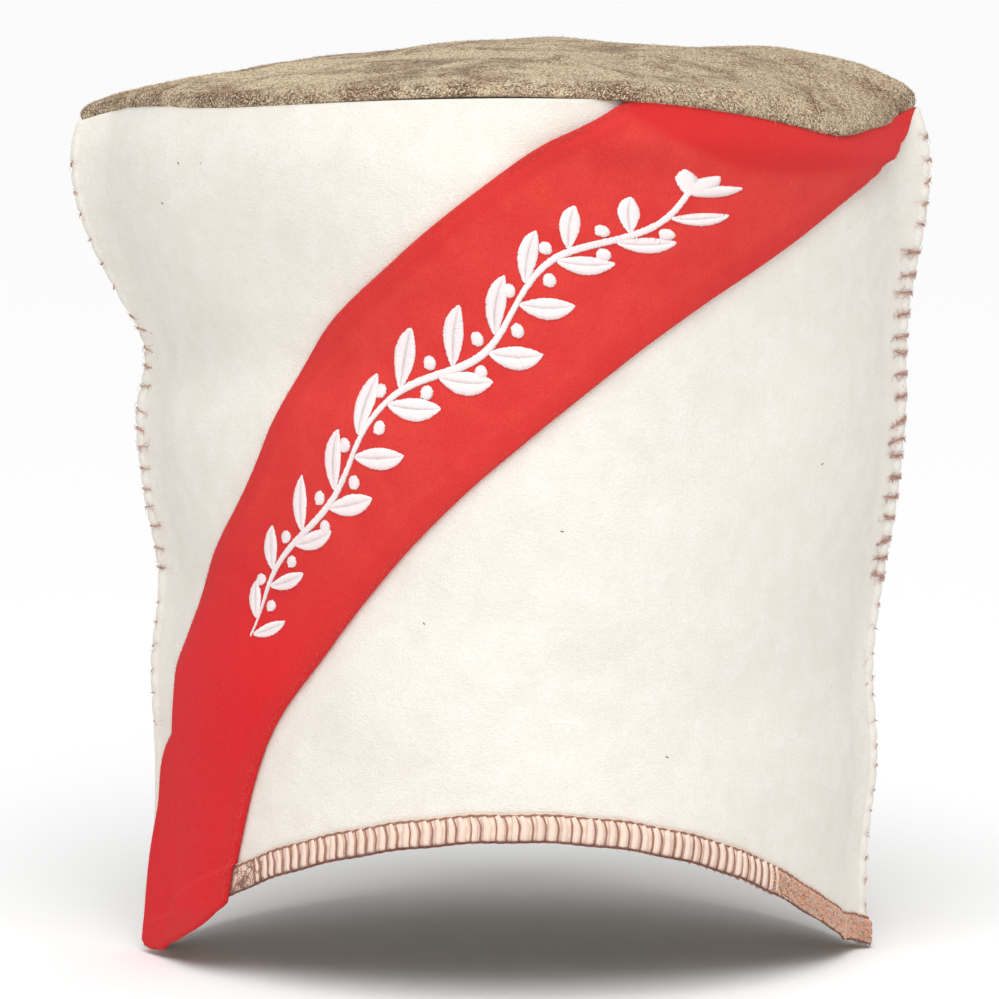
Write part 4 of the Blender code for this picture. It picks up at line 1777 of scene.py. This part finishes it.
@dataclass(frozen=True)
class SideSeams:
    """The overcast side seams."""

    form: HatForm

    def over(self, side: Side, step: Array, height: Array, offset: float) -> Array:
        """Points from the front, round the seam's tip, to the back.

        Args:
            side: The seam.
            step: Steps from the tip, negative on the front.
            height: Heights.
            offset: Distance from the felt's middle.

        Returns:
            Points in the shape of step.
        """
        flat, level = step.ravel(), height.ravel()
        column = self.form.column_at(side.value, np.abs(flat))
        reach = np.full_like(column, offset)
        made = [self.form.wrap(column, level, reach, half) for half in Half]
        return np.where((flat < 0)[:, None], *made).reshape(*step.shape, 3)

    def build(self, thread: Material, halo: Material) -> None:
        """Sews both seams.

        Args:
            thread: The thread's material.
            halo: The material of the fibres round it.
        """
        dice = np.random.default_rng(11)
        t = np.linspace(-1, 1, 15)
        offset = self.form.felt / 2 - 0.1 * MM
        for side in Side:
            made = []
            for run in (run for run in SEAM_RUNS if run.side is side):
                level = run.levels()[:, None]
                step = t * run.reach * dice.uniform(0.8, 1.1, level.shape)
                height = level + dice.normal(0, 0.9 * MM, level.shape) * np.abs(t)
                path = self.over(side, step, height, offset)
                up = self.over(side, step, height, offset + 1 * MM)
                thin = 1 - 0.55 * np.abs(t) ** 3
                radius = run.radius * thin * dice.uniform(0.8, 1.2, level.shape)
                made.append((path, up, radius, self.loose(dice, run, step, height)))
            path, up, radius, loose = (np.concatenate(parts) for parts in zip(*made))
            name = side.name.lower()
            Strands(f"seam_stitches_{name}", 6, thread).lay(path, unit(up - path), radius, radius)
            away = unit(loose - loose.mean(axis=(0, 1)))
            Strands(f"seam_fluff_{name}", 3, halo).lay(loose, away, 0.05 * MM, 0.05 * MM)

    def loose(
        self, dice: np.random.Generator, run: SeamRun, step: Array, height: Array
    ) -> Array:
        """Paths of the loose fibres round a stretch's stitches.

        Args:
            dice: The source of unevenness.
            run: The stretch.
            step: The stitches' steps, stitch by ring.
            height: Their heights.

        Returns:
            Paths, as fibre by ring by xyz.
        """
        which = np.repeat(np.arange(len(step)), run.halo)
        count = len(which)
        ring = (dice.uniform(0, 1, count) * (step.shape[1] - 1.001)).astype(int)
        at_step = step[which, ring] + dice.normal(0, 0.25, count)
        at_height = height[which, ring] + dice.normal(0, 0.35 * MM, count)
        made = []
        for share, offset in ((0.0, 0.05 * MM), (0.5, 0.35 * MM), (1.0, 0.55 * MM)):
            moved = at_step + share * dice.normal(0, 0.5, count)
            level = at_height + share * dice.normal(0, 0.8 * MM, count)
            made.append(self.over(run.side, moved, level, self.form.felt / 2 + offset))
        return np.stack(made, axis=1)


@dataclass(frozen=True)
class Sprig:
    """A white satin-stitch sprig of leaves and berries along the tongue.

    Its threads are given by their two ends, each as a run along the tongue and a distance
    across it from the middle, upwards negative.
    """

    tongue: Tongue
    start: float = 52 * MM  # run of its upper end
    end: float = 222 * MM  # run of its lower end
    pitch: float = 0.30 * MM  # distance between threads
    leaf_pitch: float = 14.5 * MM  # distance between pairs of leaves
    stagger: float = 2.2 * MM  # half the distance along the stem between a pair's leaves
    bare: float = 8 * MM  # stretch at the stem's upper end without leaves
    leaf_length: float = 13.8 * MM  # length of the largest leaf
    leaf_width: float = 2.5 * MM  # half width of the largest leaf
    stem_width: float = 0.7 * MM  # half width of the stem
    sway: float = 2.6 * MM  # how far the stem sways
    sway_length: float = 54 * MM  # length of one sway
    berry: float = 1.5 * MM  # radius of a berry
    berry_run: float = 4.6 * MM  # how far from its leaf a berry is along the stem
    berry_reach: float = 3.0 * MM  # how far it is beside the stem
    bud: tuple[float, float] = (10 * MM, 1.9 * MM)  # length and half width of a petal

    def stem(self, run: Array | float) -> Array | float:
        """Distance of the stem's middle line across the tongue."""
        return self.sway * np.sin(2 * math.pi * (run - self.start) / self.sway_length)

    def satin(self, middle: Array, reach: Array) -> Array:
        """Threads to both sides of a line."""
        return np.stack([middle - reach, middle + reach], 1)

    def stem_threads(self) -> Array:
        """Threads across the stem.

        Returns:
            Their ends.
        """
        run = np.arange(self.start, self.end, self.pitch)
        half = self.stem_width * np.minimum(1, (self.end - run) / (20 * MM) + 0.35)
        lean = np.full_like(run, 0.5 * MM)
        return self.satin(np.stack([run, self.stem(run)], -1), np.stack([lean, half], -1))

    def leaf_threads(self, run: float, side: int, size: float) -> Array:
        """Threads of one leaf, in two rows that meet on its midrib.

        Args:
            run: Where it leaves the stem.
            side: -1 for the tongue's upper side, 1 for its lower side.
            size: Its size, 1 for the largest.

        Returns:
            Their ends.
        """
        t = np.arange(0, 1, self.pitch / (self.leaf_length * size))
        turn = side * (math.radians(48) - math.radians(26) * t)
        forward = np.stack([-np.cos(turn), np.sin(turn)], -1)
        across = np.stack([np.sin(turn), np.cos(turn)], -1)
        root = (run, self.stem(run) + side * self.stem_width)
        rib = root + np.cumsum(forward, axis=0) * self.pitch
        outline = np.sin(math.pi * np.clip(t * 0.96 + 0.04, 0, 1)) ** 0.75 * (1.15 - 0.35 * t)
        half = self.leaf_width * size * outline[:, None]
        inner = rib - forward * 0.2 * MM
        rows = [
            np.stack([inner, rib + way * across * half + forward * half * 0.45], 1)
            for way in (-1, 1)
        ]
        return np.concatenate(rows)

    def berry_threads(self, run: float, across: float) -> Array:
        """Threads of one round berry.

        Args:
            run: Its middle's run.
            across: Its middle's distance across.

        Returns:
            Their ends.
        """
        over = np.arange(-self.berry, self.berry, self.pitch) + self.pitch / 2
        half = np.sqrt(np.maximum(self.berry**2 - over**2, (0.3 * MM) ** 2))
        middle = np.stack([run + over, across + 0 * over], -1)
        return self.satin(middle, np.stack([0 * over, half], -1))

    def bud_threads(self, turn: float) -> Array:
        """Threads of one petal at the stem's upper end.

        Args:
            turn: The petal's lean, in radians.

        Returns:
            Their ends.
        """
        length, half = self.bud
        t = np.arange(0, 1, self.pitch / length)[:, None]
        way = np.array([-math.cos(turn), math.sin(turn)])
        across = np.array([math.sin(turn), math.cos(turn)])
        width = half * np.sin(math.pi * np.clip(t * 0.92 + 0.06, 0, 1)) ** 0.8
        return self.satin((self.start, self.stem(self.start)) + way * t * length, across * width)

    def threads(self) -> Array:
        """All the sprig's threads.

        Returns:
            Their ends.
        """
        made = [self.stem_threads()]
        count = int((self.end - self.start - 6 * MM) / self.leaf_pitch)
        for i in range(count + 1):
            run = self.end - 3 * MM - i * self.leaf_pitch
            size = 0.72 + 0.28 * math.sin(math.pi * (i + 0.6) / (count + 1.2))
            for side in (-1, 1):
                at = run + side * self.stagger
                if at - self.start < self.bare:
                    continue
                made.append(self.leaf_threads(at, side, size))
                if i:
                    beside = at + self.berry_run
                    across = self.stem(beside) + side * self.berry_reach
                    made.append(self.berry_threads(beside, across))
        made += [self.bud_threads(turn) for turn in (-0.55, 0.0, 0.55)]
        return np.concatenate(made)

    def build(self, thread: Material) -> None:
        """Sews the sprig.

        Args:
            thread: Its material.
        """
        dice = np.random.default_rng(5)
        ends = self.threads()
        ends = ends + dice.normal(0, 0.05 * MM, ends.shape)
        t = np.linspace(0, 1, 4)[None, :, None]
        flat = ends[:, :1] * (1 - t) + ends[:, 1:] * t
        tongue = self.tongue
        u = 0.5 + flat[..., 1].ravel() / tongue.width
        v = flat[..., 0].ravel() / tongue.length
        long = np.linalg.norm(ends[:, 1] - ends[:, 0], axis=-1)[:, None]
        swell = np.minimum(long * 0.10, 0.35 * MM) * np.sin(math.pi * t[..., 0])
        lift = (tongue.felt / 2 + 0.06 * MM + swell).ravel()
        spot = tongue.route(u, v)
        shape = (*flat.shape[:2], 3)
        paths = tongue.surface(*spot, lift).reshape(shape)
        ups = unit(tongue.surface(*spot, lift + 1 * MM).reshape(shape) - paths)
        Strands("sprig_embroidery", 5, thread).lay(paths, ups, 0.26 * MM, 0.19 * MM)


@dataclass(frozen=True)
class Studio:
    """The floor, the light and the camera."""

    target: Vector = field(default_factory=lambda: Vector((0.0, 0.0, 0.1175)))  # camera's aim
    distance: float = 1.6  # how far the camera stands from it
    elevation: float = 5.0  # the camera's height over it, in degrees
    lens: float = 221.8  # in mm
    floor: float = 60.0  # half width of the floor
    ambient: float = 0.45  # strength of the light from all round
    lamp: float = 6.0  # power of the soft lamp in front, in watts
    lamp_size: float = 0.8
    lamp_place: tuple[float, float, float] = (0.25, -1.7, 1.3)
    sun: float = 2.1  # strength of the wide main light
    sun_spread: float = 50.0  # its width, in degrees
    sun_from: tuple[float, float, float] = (-0.02, -0.68, 1.08)

    def stand(self, name: str, data: bpy.types.ID, at: Vector, facing: Vector) -> Piece:
        """Puts a lamp or camera in the scene.

        Args:
            name: Its name.
            data: Its data.
            at: Its place.
            facing: The way that it looks.

        Returns:
            The object.
        """
        holder = bpy.data.objects.new(name, data)
        holder.location = at
        holder.rotation_euler = facing.to_track_quat("-Z", "Y").to_euler()
        bpy.context.scene.collection.objects.link(holder)
        return holder

    def build_floor(self) -> None:
        """Lays the plain pale floor."""
        cage, u, v, _ = unit_grid(2, 2, shell=False)
        points = np.column_stack([u - 0.5, v - 0.5, 0 * u]) * 2 * self.floor
        material = bpy.data.materials.new("pale_floor")
        material.use_nodes = True
        shader = material.node_tree.nodes["Principled BSDF"]
        feeds = {"Base Color": (0.97, 0.97, 0.97, 1), "Roughness": 0.9, "Specular IOR Level": 0.1}
        Graph(material.node_tree).feed(shader, feeds)
        floor = cast("floor", cage, points, material)
        bpy.context.scene.collection.objects.link(floor)

    def build_light(self) -> None:
        """Sets the soft light."""
        bpy.context.scene.view_settings.view_transform = "Standard"
        world = bpy.data.worlds.new("studio_light")
        world.use_nodes = True
        graph = Graph(world.node_tree)
        seen = graph.add("ShaderNodeLightPath").outputs["Is Camera Ray"]
        strength = graph.math("ADD", graph.times(seen, 1 - self.ambient), self.ambient)
        sky = world.node_tree.nodes["Background"]
        graph.feed(sky, {"Color": (1, 1, 1, 1), "Strength": strength})
        bpy.context.scene.world = world
        sun = bpy.data.lights.new("main_light", "SUN")
        sun.energy = self.sun
        sun.angle = math.radians(self.sun_spread)
        self.stand("main_light", sun, Vector(), -Vector(self.sun_from))
        lamp = bpy.data.lights.new("front_light", "AREA")
        lamp.shape = "DISK"
        lamp.size = self.lamp_size
        lamp.energy = self.lamp
        place = Vector(self.lamp_place)
        self.stand("front_light", lamp, place, self.target - place)

    def build_camera(self) -> None:
        """Places the camera at the photograph's angle."""
        camera = bpy.data.cameras.new("camera")
        camera.lens = self.lens
        camera.sensor_width = 36
        camera.dof.use_dof = False
        rise = math.radians(self.elevation)
        back = Vector((0, -math.cos(rise), math.sin(rise)))
        at = self.target + back * self.distance
        bpy.context.scene.camera = self.stand("camera", camera, at, -back)

    def build(self) -> None:
        """Sets up the whole studio."""
        self.build_camera()
        self.build_floor()
        self.build_light()


@dataclass(frozen=True)
class Hat:
    """The whole hat, piece by piece."""

    form: HatForm
    coloured: dict[str, Material]  # the finishes by name

    def build_panel(self, half: Half, across: int, seed: int) -> None:
        """Builds a body panel and its nap.

        Args:
            half: The panel.
            across: Faces round it.
            seed: Seed of its nap.
        """
        panel = BodyPanel(self.form, half, across)
        panel.build(self.coloured["white_wool_felt"])
        nap, fibre = Nap(4400, 1.3 * MM, 0.03 * MM, 0.45, seed), self.coloured["white_fibres"]
        nap.grow(f"{half.value}_panel_nap", "white_felt", panel.face, fibre)
        if half is Half.FRONT:
            panel.lint(self.coloured["lint_fibres"])

    def build_crown(self) -> None:
        """Builds the crown and its naps."""
        crown = Crown(self.form)
        crown.build(self.coloured["marl_wool_felt"])
        pale, dark = self.coloured["pale_fibres"], self.coloured["dark_fibres"]
        for name, surface, fibre, nap in (
            ("pale", crown.top, pale, Nap(6800, 1.6 * MM, 0.048 * MM, 0.5, 31, rings=3)),
            ("dark", crown.top, dark, Nap(8000, 1.4 * MM, 0.045 * MM, 0.45, 32)),
            ("rim", crown.strip, dark, Nap(2600, 1.3 * MM, 0.045 * MM, 0.6, 33)),
        ):
            nap.grow(f"crown_{name}_nap", "marl_felt", surface, fibre)

    def build_tongue(self, tongue: Tongue) -> None:
        """Builds the tongue, its naps and its embroidery.

        Args:
            tongue: The tongue.
        """
        tongue.build(self.coloured["red_wool_felt"])
        for name, surface, nap in (
            ("tongue_nap", tongue.face, Nap(3000, 1.1 * MM, 0.03 * MM, 0.4, 41)),
            ("tongue_edge_nap", tongue.edges, Nap(5200, 1.2 * MM, 0.03 * MM, 0.7, 42)),
        ):
            nap.grow(name, "red_felt", surface, self.coloured["red_fibres"])
        Sprig(tongue).build(self.coloured["white_cotton"])

    def build(self) -> None:
        """Builds every piece of the hat."""
        self.build_panel(Half.FRONT, across=160, seed=21)
        self.build_panel(Half.BACK, across=124, seed=22)
        self.build_crown()
        tongue = Tongue(self.form)
        self.build_tongue(tongue)
        last, _ = tongue.route(np.array([0.985]), np.ones(1))
        HemOverlock(self.form, covered_column=float(last[0])).build(self.coloured)
        SideSeams(self.form).build(self.coloured["seam_thread"], self.coloured["pink_fibres"])


def main() -> None:
    """Builds the scene."""
    logging.basicConfig(level=logging.INFO, format="%(message)s")
    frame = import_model()
    LOG.info("solids: %s", ", ".join(sorted(frame["nodes"])))
    Studio().build()
    effects = Effects()
    Hat(HatForm(), {finish.name: finish.make(effects) for finish in FINISHES}).build()


if __name__ == "__main__":
    main()
